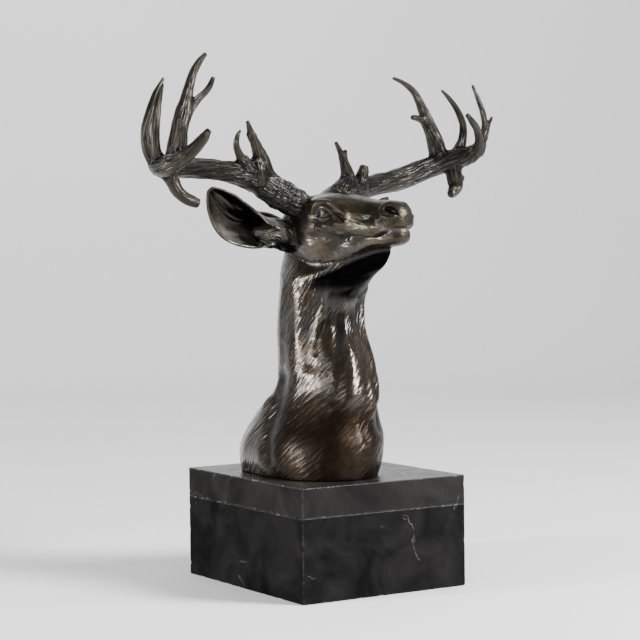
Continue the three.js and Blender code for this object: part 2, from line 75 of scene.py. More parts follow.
# %% Curves, bells and corners
def curve_through(knots, values, at):
    """A cubic through the knots: between two of them the value blends both ends' heights and slopes, and the
    slope at a knot is the mean of the slopes on its two sides."""
    knots, values = np.asarray(knots, float), np.asarray(values, float)
    slopes = np.diff(values) / np.diff(knots)
    tangents = np.concatenate([slopes[:1], (slopes[:-1] + slopes[1:]) / 2, slopes[-1:]])
    i = np.clip(np.searchsorted(knots, at) - 1, 0, len(knots) - 2)
    gap = knots[i + 1] - knots[i]
    u = np.clip((at - knots[i]) / gap, 0, 1)
    return (
        values[i] * (1 + 2 * u) * (1 - u) ** 2
        + tangents[i] * gap * u * (1 - u) ** 2
        + values[i + 1] * u * u * (3 - 2 * u)
        + tangents[i + 1] * gap * u * u * (u - 1)
    )


def columns_at(table, at):
    """Each column of a table after the first, as a smooth curve over the first, read at these places."""
    return [curve_through(table[:, 0], column, at) for column in table[:, 1:].T]


def bell(distance):
    """1 at distance 0, falling off as exp(-distance squared)."""
    return np.exp(-distance * distance)


def power(value, square):
    """A cosine or sine raised to 2 / square with its sign kept: 2 draws an ellipse, more draws squarer."""
    return np.sign(value) * np.abs(value) ** (2 / square)


def ramp(low, high, value):
    """0 below low, 1 above high, and a smooth step 3u^2 - 2u^3 between."""
    u = np.clip((value - low) / (high - low), 0, 1)
    return u * u * (3 - 2 * u)


print("a curve through 0, 1, 4 is", curve_through([0, 1, 2], [0, 1, 4], 1.5), "half way between the last two")

# %% [markdown]
# ## Noise for the modelling marks
# Bronze keeps every mark of the modelling tool: strokes of fur, grooves along the antlers and the pearls at
# their roots. Lattice noise gives strokes when its space is stretched, and pearl noise gives round beads.


# %% Noise worked out on whole arrays
def stacked(*parts):
    """Arrays stretched to one common shape and stacked as the parts of points."""
    return np.stack(np.broadcast_arrays(*parts), -1)


LATTICE_COUNT = 4093  # random values that all the corners of the lattice share
PRIMES = (73856093, 19349663, 83492791)


def corner_numbers(cells):
    """Which of the shared values each lattice cell takes: its three places times large primes, mixed."""
    x, y, z = (cells[..., k] * PRIMES[k] for k in range(3))
    return (x ^ y ^ z) % LATTICE_COUNT


def lattice_noise(points, seed):
    """Each lattice corner has a fixed random height, and a point takes the smooth blend of the eight round
    it, from -1 to 1."""
    heights = np.random.default_rng(seed).uniform(-1, 1, LATTICE_COUNT)
    cells = np.floor(points).astype(np.int64)
    u = points - cells
    u = u * u * (3 - 2 * u)
    total = np.zeros(points.shape[:-1])
    for corner in itertools.product((0, 1), repeat=3):
        shares = np.where(corner, u, 1 - u).prod(-1)
        total += shares * heights[corner_numbers(cells + corner)]
    return total


def pearl_noise(points, seed):
    """One bead in each lattice cell: 1 at a bead's middle, falling off with the squared distance to 0."""
    places = np.random.default_rng(seed).uniform(0.15, 0.85, (LATTICE_COUNT, 3))
    cells = np.floor(points).astype(np.int64)
    nearest = np.full(points.shape[:-1], 9.0)
    for step in itertools.product((-1, 0, 1), repeat=3):
        middles = cells + step + places[corner_numbers(cells + step)]
        nearest = np.minimum(nearest, ((middles - points) ** 2).sum(-1))
    return np.clip(1 - nearest / 0.4, 0, 1)


print("noise at three places:", lattice_noise(np.array([[0.5, 0, 0], [1.5, 2, 0], [3, 3, 3.3]]), 4).round(2))

# %% [markdown]
# ## The stag's own directions
# The head looks 14 degrees to the stag's left of the plinth's front, and the chest 10 degrees the other way.
# Head places are written as (ahead, to the left, up), which keeps both halves of a face mirrored in the
# tables.

# %% Head and chest directions
HEAD_TURN = np.radians(14)
CHEST_TURN = np.radians(-10)


def in_head(ahead, left, up):
    """Places given ahead, to the stag's left and up, turned by HEAD_TURN about the upright axis."""
    x = ahead * np.sin(HEAD_TURN) + left * np.cos(HEAD_TURN)
    y = -ahead * np.cos(HEAD_TURN) + left * np.sin(HEAD_TURN)
    return stacked(x, y, up)


print("the nose is at", in_head(107.0, 0.0, 228.0).round(1))

# %% [markdown]
# ## The neck
# A neck could be a swept circle, but a stag's is deep from front to back, turns as it rises and has its own
# muscles. So it is level rings: each table row gives a ring's middle, turn, half width and reach both ways.
# Muscles and grooves are soft ridges that run down it, and fur is noise stretched along the strokes.

# %% Neck sections and muscles
NECK = np.array(
    [
        # height, middle x, middle y, turn, half width, front, back, square front, square back
        (-4, -10, 6, 0, 53, 87, 87, 2.2, 2.3),
        (0, -10, 6, 0, 54, 87, 87, 2.2, 2.3),
        (14, -8, 6, 0, 57.5, 86, 88, 2.2, 2.4),
        (32, -6, 4, 0.04, 56, 81, 86, 2.2, 2.5),
        (48, -4, 2, 0.08, 50, 74, 83, 2.1, 2.4),
        (62, -2, 0, 0.17, 45, 69, 70, 2.1, 2.2),
        (75, 0, -3, 0.25, 41, 65, 56, 2, 2.1),
        (92, 0, -3, 0.375, 39, 59, 53, 2, 2),
        (110, 0, -2, 0.5, 37.5, 51, 51, 2, 2),
        (128, 0, 0, 0.625, 36.5, 41.5, 49, 2, 2),
        (146, 0, 0, 0.79, 36.5, 37, 45, 2, 2),
        (160, 0, 0, 0.92, 36, 40, 42, 1.9, 2),
        (170, 0, 0, 1, 35, 51, 41, 1.75, 2),
        (179, 0, 0, 1, 34, 63, 40, 1.6, 2),
        (187, 0, 0, 1, 30, 77, 42, 1.35, 2),
        (196, 0, 0, 1, 25, 85, 42, 1.2, 2),
        (203, 0, 0, 1, 22, 86, 41, 1.12, 2),
        (214, 0, 0, 1, 24, 62, 38, 1.4, 2),
        (228, 0, 0, 1, 25, 40, 33, 2, 2),
        (239, 0, 0, 1, 19, 25, 25, 2, 2),
    ]
)
NECK_RADIUS = 40  # mm, on the whole
STROKE_LEAN = -0.6  # how far the strokes of fur lean as they run down, as a slope
NECK_RUNS = [
    # side angle at the top and at the foot, top height, foot height, reach across, lift
    (-6, -9, 172, 60, 12, 3.2),  # windpipe on the near side
    (46, 18, 178, 55, 9, 3.2),
    (-78, -68, 172, 66, 15, 2.4),  # right strap muscle
    (64, 34, 176, 40, 9, -2.4),
    (-62, -50, 174, 96, 9, -2.2),  # hollow behind the angle of the jaw
    (-17, -16, 150, 66, 6, -1.5),  # groove beside the windpipe
    (28, 24, 168, 90, 6, -1.5),
    (92, 62, 180, 30, 15, 3),
    (-100, -128, 78, -10, 16, 3.2),  # right shoulder
    (96, 118, 46, -4, 13, 5),
    (-102, -46, 94, -12, 9, -2.2),  # crease between the neck and the right shoulder
    (78, 92, 60, 0, 8, -3),
]
NECK_FOLDS = [
    # finer folds: the same columns
    (-12, -7, 172, 112, 3, 1.2),  # cord of the throat
    (-8, -9, 124, 70, 8, 0.8),
    (-33, -45, 178, 122, 3.4, 1.6),  # from the angle of the jaw
    (-38, -43, 142, 108, 2.6, -1.1),
    (-25, -22, 134, 88, 2.6, 0.9),
    (18, 20, 160, 60, 3, -1.0),
    (6, 12, 124, 30, 4, -0.7),
    (38, 26, 168, 66, 3.2, 1.2),
    (22, 26, 134, 60, 5, 0.7),
    (-118, -112, 170, 60, 6, 1.1),
    (-138, -134, 176, 50, 6, -1.0),
    (150, 146, 176, 50, 6, -1.0),
    (118, 112, 170, 60, 6, 1.1),
    (-112, -138, 70, 4, 4.5, 1.4),
    (-122, -150, 62, 2, 4.5, -1.4),
]


def run_lift(angle, radius, height, run):
    """A ridge along a slanting line: a bell across it, times its lift, faded at both ends."""
    top_angle, foot_angle, top, foot, reach, lift = run
    share = np.clip((top - height) / (top - foot), 0, 1)
    middle = np.radians(top_angle + (foot_angle - top_angle) * share)
    across = bell(((angle - middle) * radius) / reach)
    beyond = np.maximum(np.maximum(height - top, foot - height), 0) / reach
    within = np.clip(np.minimum(top - height, height - foot) / reach + 0.5, 0, 1)
    return lift * across * within * bell(beyond)


def fur_strokes(angle, radius, height, lean, seed):
    """Fur modelled in strokes: noise in a space that is narrow round the neck and long down it, leaning."""
    turned = angle + lean * height / radius + 0.05 * np.sin(height / 9)
    around = stacked(np.cos(turned) * 22, np.sin(turned) * 22, height / 6)
    fine = lattice_noise(around, seed)
    finer = lattice_noise(around * (1.9, 1.9, 1.6), seed + 1)
    return 0.62 * fine + 0.38 * finer


def neck_surface(steps, sides):
    """Level rings: each is a superellipse round its own middle, pushed out by muscles, folds and fur."""
    height = np.linspace(NECK[0, 0], NECK[-1, 0], steps)[:, None]
    angle = np.linspace(-np.pi, np.pi, sides, endpoint=False)[None, :]
    x, y, turn, half, front, back, square_f, square_b = columns_at(NECK, height)
    facing = np.cos(angle)
    ahead = facing > 0
    along = np.where(ahead, front, back) * power(facing, np.where(ahead, square_f, square_b))
    side = half * power(np.sin(angle), np.where(ahead, square_f, square_b))
    radius = np.hypot(along, side)
    bearing = np.arctan2(side, along)
    lift = sum(run_lift(bearing, radius, height, run) for run in NECK_RUNS + NECK_FOLDS)
    swell = stacked(along / 15, side / 15, height / 34)
    lift = lift + 0.45 * lattice_noise(swell, 3) + 0.16 * lattice_noise(swell * 2.6, 5)
    lift = lift + 0.15 * fur_strokes(bearing, NECK_RADIUS, height, STROKE_LEAN, 7)
    lift = lift + 0.08 * fur_strokes(2 * bearing, NECK_RADIUS, 1.9 * height, 1.5 * STROKE_LEAN, 17)
    grown = 1 + lift / radius
    heading = CHEST_TURN + (HEAD_TURN - CHEST_TURN) * turn
    return stacked(
        x + grown * (along * np.sin(heading) + side * np.cos(heading)),
        y + grown * (-along * np.cos(heading) + side * np.sin(heading)),
        height,
    )


neck = neck_surface(340, 560)
print("neck grid:", neck.shape)

# %% [markdown]
# ## The skull and the lower jaw
# The head is sections again, this time from the poll to the nose. On top of its tables come soft swellings
# and hollows: brow, cheekbone, tear pit, lips. They are bells in space that push the surface out or in, and
# the ones off the middle line work on both sides of the face at once.

# %% Skull and jaw sections, swellings and hollows
SKULL = np.array(
    [
        # ahead, top, bottom, height of the widest line, half width, square above, square below
        (-33, 233, 210, 221, 10, 2, 2),
        (-31, 239, 205, 222, 19, 2, 2),
        (-24, 246, 196, 224, 26, 2, 2),
        (-12, 251, 187, 226, 30, 2.1, 2),
        (2, 253, 181, 229, 32.5, 2.2, 2),
        (16, 254, 179, 233, 33.5, 2.3, 1.9),
        (28, 254, 183, 235, 32.5, 2.3, 1.8),
        (40, 252.4, 190, 234, 28.5, 2.2, 1.8),
        (51, 250.4, 198, 231, 24, 2.2, 2.1),
        (62, 248.2, 205, 228, 20.5, 2.2, 2.7),
        (73, 246.6, 209.5, 226, 18, 2.2, 3),
        (82, 246.5, 213, 225, 16.8, 2.3, 3),
        (90, 246, 215.5, 226, 16, 2.4, 3),
        (97, 244.8, 217.5, 227, 14.6, 2.4, 2.8),
        (102, 242.5, 218.5, 228, 12.2, 2.2, 2.4),
        (105.5, 238.5, 220, 228, 8.6, 2, 2.1),
        (107, 234.5, 222.5, 228.5, 4.8, 2, 2),
    ]
)
JAW = np.array(
    [
        # ahead, top, bottom, half width
        (4, 206, 184, 19),
        (14, 208, 179, 22.5),
        (26, 210, 183, 22),
        (38, 211, 188.5, 20),
        (50, 212, 194.5, 17),
        (62, 213, 199.5, 14.8),
        (74, 215, 203.5, 13.4),
        (84, 218, 204.8, 12.4),
        (93, 220, 205.3, 11.6),
        (100, 220.5, 207, 10),
        (104, 218.5, 209.5, 6.5),
        (105.5, 216, 212, 3.5),
    ]
)
SWELLINGS = [
    # ahead, to the side, up, reach ahead, reach sideways, reach up, lift
    (25, 30, 246, 13, 9, 5, 4),  # brow
    (34, 32, 235, 10, 12, 6, -3.6),  # eye socket
    (47, 26, 232, 7, 9, 4, -3),  # tear pit
    (30, 32, 223, 22, 12, 5, 2.6),  # cheekbone
    (6, 32, 240, 10, 10, 9, -3),  # temple
    (16, 30, 201, 15, 16, 13, 4),  # cheek muscle
    (52, 24, 212, 13, 12, 6, -2.6),  # cheek hollow
    (86, 17, 222, 14, 8, 5, 2),  # upper lip
    (72, 17, 239, 18, 9, 5, -0.8),  # side of the bridge
    (96, 14, 235.5, 9, 7, 7, 2.6),  # nostril wing
    (20, 0, 256, 20, 12, 8, -1.5),  # forehead
    # finer forms
    (44, 24, 244, 8, 6, 2.6, 1.0),  # end of the brow
    (58, 21, 236, 9, 6, 3.0, 0.3),  # ridge ahead of the tear pit
    (29.5, 31, 224, 2.2, 6, 2.0, 2.4),  # beads of flesh under the eye
    (38, 28, 225.4, 2.4, 6, 2.0, 2.3),
    (34, 27, 212, 3.2, 8, 2.4, 2.0),  # lumps of the cheek
    (47.3, 22, 217, 2.6, 8, 2.2, 1.8),
    (55, 17, 210.6, 3.0, 7, 2.2, 1.8),
    (50, 17, 206, 4.5, 7, 2.2, 1.0),
    (41, 24, 205, 6, 8, 3, -1.0),
    (22, 31, 216, 5, 8, 4, -1.2),
    (66, 18, 221, 9, 7, 3.5, 0.9),  # muscle of the upper lip
    (72, 17, 230, 10, 7, 3, -0.7),
    (86, 16, 228.5, 4.5, 6, 2.8, 2.3),  # bulges of the upper lip
    (99, 12, 227.2, 3.4, 5, 2.8, 1.9),
    (97, 0, 243, 7, 3, 4, -1),  # groove between the nostrils
    (8, 14, 254, 8, 6, 4, 1.2),
    (36, 8, 255, 12, 5, 4, 0.9),
    (62, 0, 251, 16, 4, 4, 0.7),
]


def side_of_head(ahead, up):
    """Half width of the skull at a place on its side, by the superellipse of that section."""
    top, bottom, middle, half, square_u, square_l = columns_at(SKULL, ahead)
    above = up > middle
    reach = np.where(above, top - middle, middle - bottom)
    square = np.where(above, square_u, square_l)
    share = np.clip(np.abs(up - middle) / reach, 0, 0.98)
    return half * (1 - share**square) ** (1 / square)


def swelling(ahead, left, up):
    """The sum of all bells in space at a place, counted alike on both sides of the face."""
    total = 0
    for s, l, h, reach_s, reach_l, reach_h, lift in SWELLINGS:
        away = ((ahead - s) / reach_s) ** 2 + ((np.abs(left) - l) / reach_l) ** 2 + ((up - h) / reach_h) ** 2
        total = total + lift * np.exp(-away)
    return total


def face_fur(ahead, left, up, strength):
    """Short hair: noise stretched along the face and faded to nothing on the bare nose."""
    swirl = 0.5 * np.sin(ahead / 11 + up / 7)
    stroke = stacked(ahead / 3.2, left / 2.2, (up + swirl + 0.2 * ahead) / 2.0)
    clumps = stacked(ahead / 7, left / 5, up / 5)
    hair = 0.8 * lattice_noise(stroke, 31) + lattice_noise(clumps, 33)
    return strength * hair * (1 - 0.8 * ramp(84, 98, ahead))


def head_surface(table, steps, sides, fur):
    """Upright sections along the head, each a superellipse about its widest line, pushed by the swellings."""
    share = np.sin(np.linspace(0, np.pi / 2, steps)) ** 0.9
    ahead = (table[0, 0] + (table[-1, 0] - table[0, 0]) * share)[:, None]
    angle = np.linspace(0, 2 * np.pi, sides, endpoint=False)[None, :]
    top, bottom, middle, half, square_u, square_l = columns_at(table, ahead)
    up = np.sin(angle)
    square = np.where(up > 0, square_u, square_l)
    left = half * power(np.cos(angle), square)
    rise = np.where(up > 0, top - middle, middle - bottom) * power(up, square)
    lift = swelling(ahead, left, middle + rise) + face_fur(ahead, left, middle + rise, fur)
    grown = 1 + lift / np.hypot(left, rise)
    return in_head(ahead + 0 * angle, left * grown, middle + rise * grown)


jaw_middle = (JAW[:, 1] + JAW[:, 2]) / 2
jaw_squares = np.full((len(JAW), 2), 2.4)
jaw_table = np.column_stack([JAW[:, :3], jaw_middle, JAW[:, 3], jaw_squares])
skull = head_surface(SKULL, 260, 300, 0.18)
jaw = head_surface(jaw_table, 180, 220, 0.22)
print("skull grid:", skull.shape, "jaw grid:", jaw.shape)

# %% [markdown]
# ## Ribbons of wax on the face
# Lids, brow fold, nostril rim and lips are thin rolls of wax pressed on the face, and the mouth, the lid
# creases and the furrows are drawn with a round tool. Both are tubes along a line. A line is a few points
# (ahead, up) on the cheek, and the side of the head gives how far out each point lies.


# %% Tubes along a line
def line_points(line, per_step):
    """A Catmull-Rom curve through the points of a line: each span is a cubic whose slope at a point is half
    the way between that point's neighbours. Also gives the radius along it."""
    line = np.asarray(line, float)
    count = len(line)
    ends = np.vstack([2 * line[0] - line[1], line, 2 * line[-1] - line[-2]])[:, :3]
    t = np.linspace(0, count - 1, per_step * (count - 1) + 1)
    i = np.minimum(t.astype(int), count - 2)
    u = (t - i)[:, None]
    before, start, end, after = ends[i], ends[i + 1], ends[i + 2], ends[i + 3]
    centre = (
        start * (1 + 2 * u) * (1 - u) ** 2
        + (end - before) / 2 * u * (1 - u) ** 2
        + end * u * u * (3 - 2 * u)
        + (after - start) / 2 * u * u * (u - 1)
    )
    return centre, curve_through(np.arange(count), line[:, 3], t)


def untwisted(along):
    """For each direction along a line, a side direction: the one before, less its part along the line. So a
    tube doesn't twist."""
    side = [np.array([1.0, 0.0, 0.0])]
    for direction in along:
        carried = side[-1] - direction * (side[-1] @ direction)
        side.append(carried / np.linalg.norm(carried))
    return np.array(side[1:])


def directions(centre):
    """Unit directions along a line of points, and the length run so far at each."""
    along = np.gradient(centre, axis=0)
    along /= np.linalg.norm(along, axis=1, keepdims=True)
    return along, np.concatenate([[0], np.cumsum(np.linalg.norm(np.diff(centre, axis=0), axis=1))])


def tube(line, per_step, sides, skin=None, round_end=0.35):
    """Rings about a line, each square to it. skin(angle, along, radius) adds the relief, and the end is
    rounded off."""
    centre, radius = line_points(line, per_step)
    centre = in_head(*centre.T)
    along, run = directions(centre)
    close = np.sin(np.linspace(0, np.pi / 2, 5))[1:, None]
    tip = centre[-1] + along[-1] * radius[-1] * round_end * close
    centre, along = np.vstack([centre, tip]), np.vstack([along, np.repeat(along[-1:], 4, 0)])
    run = np.concatenate([run, np.full(4, run[-1])])
    shrink = np.sqrt(np.maximum(1 - close[:, 0] ** 2, 0.02))
    radius = np.concatenate([radius, radius[-1] * shrink])
    side = untwisted(along)
    over = np.cross(along, side)
    angle = np.linspace(0, 2 * np.pi, sides, endpoint=False)
    reach = np.repeat(radius[:, None], sides, 1)
    if skin is not None:
        reach = reach + skin(angle[None, :], run[:, None], radius[:, None])
    outwards = np.cos(angle)[None, :, None] * side[:, None] + np.sin(angle)[None, :, None] * over[:, None]
    return centre[:, None] + reach[..., None] * outwards


def both_sides(line, per_step, sides, *shape):
    """Two tubes: a line of (ahead, to the side, up, radius) on the right of the head and on the left."""
    return [tube(np.array(line) * (1, side, 1, 1), per_step, sides, *shape) for side in (-1, 1)]


def on_cheek(line, side, sink=0.0):
    """A line of (ahead, up, radius) laid on one side of the head, sunk below its skin by sink."""
    ahead, up, radius = np.array(line, float).T
    out = side_of_head(ahead, up)
    out = out + swelling(ahead, out, up) - sink
    return np.column_stack([ahead, side * out, up, radius])


ROLLS = [
    # fold of the brow, over the eye and down to the tear pit
    (
        [
            (21, 236, 0.7), (24, 241.8, 1.2), (29, 245.6, 1.5), (35, 246, 1.6), (40.5, 243.2, 1.5),
            (45, 239.4, 1.4), (48.8, 236.4, 1.3), (52, 235, 0.8),
        ],
        0.0,
    ),
    # upper lip's edge
    (
        [
            (72, 214.8, 0.7), (79, 215.8, 1.0), (86, 217.8, 1.2), (93, 220.8, 1.3), (99, 223, 1.3),
            (103, 225, 1.0),
        ],
        0.6,
    ),
    # rim of the nostril
    (
        [
            (99.5, 242.2, 0.9), (94, 243.6, 1.2), (89.6, 241.2, 1.4), (88.8, 236, 1.5), (92.6, 231.6, 1.5),
            (98.4, 230.4, 1.4), (103, 232, 0.9),
        ],
        0.2,
    ),
]
TOOL_STROKES = [
    # tear pit
    ([(41.5, 236.4, 0.6), (45.5, 233.6, 1.1), (49, 230.6, 1.0), (51.4, 227.4, 0.5)], 0.2),
    # crease of the inner corner of the eye
    ([(39, 230.6, 0.5), (42, 229.4, 0.6), (45, 228.6, 0.4)], 0.0),
    # soft furrow below the cheek lumps
    ([(62, 214.6, 0.5), (56, 214.8, 0.9), (50, 212.6, 0.8), (44, 213.4, 0.4)], -0.3),
    # mouth
    (
        [
            (70, 213.4, 0.7), (76, 214.2, 1.0), (84, 215.5, 1.1), (91, 217.8, 1.3), (97, 220, 1.5),
            (102, 221.2, 1.7),
        ],
        0.2,
    ),
]
face_rolls = [tube(on_cheek(line, side, sink), 8, 14) for line, sink in ROLLS for side in (-1, 1)]
face_cuts = [tube(on_cheek(line, side, sink), 8, 14) for line, sink in TOOL_STROKES for side in (-1, 1)]
MOUTH_FRONT = [
    (100.5, -9.5, 221, 1.7), (104.5, -5.5, 220.8, 1.9), (106.3, 0, 220.6, 1.9), (104.5, 5.5, 220.8, 1.9),
    (100.5, 9.5, 221, 1.7),
]
face_cuts.append(tube(MOUTH_FRONT, 8, 14))
NOSTRIL = [
    (92, 13.4, 238.8, 2.0), (95, 13.2, 238.4, 3.0), (98.5, 12, 236.8, 3.5), (101.8, 10.4, 235, 2.4),
    (103.4, 9.8, 233.2, 1.2),
]
JAW_FURROW = [
    # under the edge of the jaw: ahead, to the side, up, radius
    (14, 36.5, 175.5, 1.5), (24, 31.5, 177.5, 2.6), (36, 25, 183, 3.2), (50, 17.5, 189.5, 3.2),
    (63, 12, 195.5, 2.8), (76, 8, 200.5, 1.8),
]
jaw_furrows = both_sides(JAW_FURROW, 8, 20)
face_cuts += both_sides(NOSTRIL, 8, 20)
print(len(face_rolls), "rolls of wax and", len(face_cuts), "tool strokes")

# %% [markdown]
# ## The eyes
# An eye is a ball between two thick lids. The lids are rolls that lie on the ball: a line of side and up
# angles, measured from the eye's own outward direction.

# %% Eyeballs and lids
EYE_RADIUS = 6.5
EYE_PLACE = (31.6, 25.2, 235.4)
EYE_FACING = (0.34, 1, 0.03)
SOCKET_GAP = 1.1  # between the ball and the socket that it lies in
LIDS = [
    # angle towards the nose, angle up and radius, then the lift off the ball
    (
        [
            (76, -12, 0.8), (54, 14, 1.1), (26, 36, 1.4), (0, 43, 1.5), (-26, 38, 1.4), (-54, 18, 1.1),
            (-76, -6, 0.8),
        ],
        1.3,
    ),
    ([(76, -12, 0.7), (42, -34, 1.1), (12, -45, 1.3), (-18, -42, 1.2), (-46, -26, 1.0), (-76, -6, 0.7)], 1.1),
]


def eyeball(side, radius, steps=40, sides=60):
    """A ball: rings of radius cos(lift) at height sin(lift), about the eye's place."""
    lift = np.linspace(-1.55, 1.55, steps)[:, None]
    angle = np.linspace(0, 2 * np.pi, sides, endpoint=False)[None, :]
    ball = stacked(np.cos(lift) * np.cos(angle), np.cos(lift) * np.sin(angle), np.sin(lift))
    ahead, left, up = EYE_PLACE
    return in_head(ahead, side * left, up) + radius * ball


def lid_line(line, side, lift):
    """Points on a ball a little larger than the eye: outward times both cosines, plus nose and up parts."""
    to_nose, up_angle, radius = np.array(line, float).T * np.array([[np.pi / 180], [np.pi / 180], [1]])
    out = np.array(EYE_FACING) / np.linalg.norm(EYE_FACING)
    nose = np.array([out[1], -out[0], 0]) / np.hypot(out[0], out[1])
    up = np.cross(nose, out)
    up *= np.sign(up[2])
    reach = EYE_RADIUS + lift
    ball = (
        np.outer(np.cos(up_angle) * np.cos(to_nose), out)
        + np.outer(np.cos(up_angle) * np.sin(to_nose), nose)
        + np.outer(np.sin(up_angle), up)
    )
    place = np.array(EYE_PLACE) + reach * ball
    return np.column_stack([place * (1, side, 1), radius])


eyes = [eyeball(side, EYE_RADIUS) for side in (-1, 1)]
sockets = [eyeball(side, EYE_RADIUS + SOCKET_GAP) for side in (-1, 1)]
lids = [tube(lid_line(line, side, lift), 8, 14) for line, lift in LIDS for side in (-1, 1)]
print(len(lids), "lids on", len(eyes), "eyes")

# %% [markdown]
# ## The ears
# An ear is a leaf rolled into a cup. Each section is an arc that wraps round a middle line, once for the
# back of the ear and once, a wall's thickness in, for its inside, so the leaf is closed round its rim. Hair
# inside it is combed in ridges from the root to the tip.

# %% Ear sections
EAR = np.array(
    [
        # share of the length, ahead, side, up, half width, depth of the cup, wrap in degrees, looks down
        (0, -13, 24, 214, 12, 12, 150, 0.8),
        (0.14, -15, 42, 218.5, 12, 13.5, 130, 0.85),
        (0.3, -16, 61, 219, 15.5, 16, 112, 0.8),
        (0.45, -17.5, 76, 223, 18.5, 15.5, 101, 0.6),
        (0.6, -19, 89, 230, 19.5, 13, 95, 0.4),
        (0.76, -20.5, 101, 241.5, 16.5, 9.5, 90, 0.28),
        (0.9, -21.5, 110, 251.5, 10.5, 6, 88, 0.2),
        (1, -22, 115.5, 258, 4, 2.6, 85, 0.2),
    ]
)
EAR_WALL = 2.7
EAR_FACING = (0.92, 0.22)
LEFT_EAR_DROOP = np.radians(5)


def ear_surface(side, steps=150, turns=80):
    """Sections along a bent middle line: out along the back's arc and back along the inside's, which is
    smaller by the wall. Ridges of hair thicken the wall inside, and the rim waves a little."""
    t = np.linspace(0, 1, steps)
    ahead, out, up, half, depth, wrap, down = columns_at(EAR, t)
    middle = np.column_stack([ahead, side * out, up])
    if side > 0:
        root = middle[0].copy()
        cos, sin = np.cos(LEFT_EAR_DROOP), np.sin(LEFT_EAR_DROOP)
        onward, away, rise = (middle - root).T
        middle = root + np.column_stack([onward, away * cos + rise * sin, rise * cos - away * sin])
    along = np.gradient(middle, axis=0)
    along /= np.linalg.norm(along, axis=1, keepdims=True)
    facing = np.column_stack([np.full(steps, EAR_FACING[0]), np.full(steps, side * EAR_FACING[1]), -down])
    facing -= along * (facing * along).sum(1, keepdims=True)
    facing /= np.linalg.norm(facing, axis=1, keepdims=True)
    across = np.cross(along, facing)
    rim = 1 + 0.02 * np.sin(t * 19) + 0.015 * np.sin(t * 41 + 1)

    def wall(inset, way):
        share = way * np.linspace(-1, 1, turns)[None, :]
        angle = np.radians(wrap * rim)[:, None] * share
        combed = stacked(angle * 9, t[:, None] * 5, 0.3)
        hair = lattice_noise(combed, 41 if way > 0 else 43)
        edge = 1 - np.abs(share) ** 6
        deep = inset + (0.8 * hair * edge if way < 0 else -0.35 * hair)
        wide = np.maximum(half[:, None] - deep, 0.3)
        low = np.maximum(depth[:, None] - deep, 0.2)
        return (
            middle[:, None]
            + (wide * np.sin(angle))[..., None] * across[:, None]
            - (low * np.cos(angle))[..., None] * facing[:, None]
        )

    ring = np.concatenate([wall(0.0, 1), wall(EAR_WALL, -1)], 1)
    return in_head(ring[..., 0], ring[..., 1], ring[..., 2])


ears = [ear_surface(side) for side in (-1, 1)]
EAR_ROOT = [
    # the thick root that closes the cup: ahead, to the side, up, radius
    (-13, 22, 213, 13), (-14, 36, 216, 12.6), (-15, 48, 217.5, 11.6), (-16, 57, 218.5, 9),
    (-17, 63, 219.5, 5.5),
]


def tufted(angle, along, radius):
    """Locks of hair along the root: sharp ridges where a noise crosses its middle, wavering as they go."""
    waver = angle + 0.4 * np.sin(along / 6)
    locks = lattice_noise(stacked(np.cos(waver) * 4.6, np.sin(waver) * 4.6, along / 12), 47)
    strands = lattice_noise(stacked(np.cos(waver) * 9, np.sin(waver) * 9, along / 7), 48)
    return 1.4 - 5 * np.abs(locks) + 0.8 * strands


ear_roots = both_sides(EAR_ROOT, 14, 90, tufted, 0.8)
EAR_FOLDS = [
    # folds that gather at the root of the ear
    [(-9, 27, 229, 1.6), (-12, 40, 229.5, 1.5), (-14, 54, 230, 1.2), (-16, 66, 233, 0.8)],
    [(-6, 27, 222, 1.6), (-8, 38, 221, 1.6), (-10, 50, 219, 1.2), (-12, 60, 216, 0.8)],
    [(-7, 28, 214, 1.8), (-9, 38, 211, 1.6), (-11, 50, 208.5, 1.3), (-13, 62, 206, 0.8)],
    [(-22, 30, 224, 8), (-25, 42, 230, 7.4), (-26.5, 54, 233, 6), (-26, 66, 237, 4)],  # on its back
]
ear_folds = [fold for line in EAR_FOLDS for fold in both_sides(line, 8, 14)]
print("ear grid:", ears[0].shape)

# %% [markdown]
# ## The antlers
# Each antler is a beam with tines, and every one is a tube whose radius tapers. Real antler is grooved along
# its length by the veins of its velvet and beaded with pearls at its root, so the tube's skin carries ridges
# stretched along it and pearls that fade with the distance from the skull.

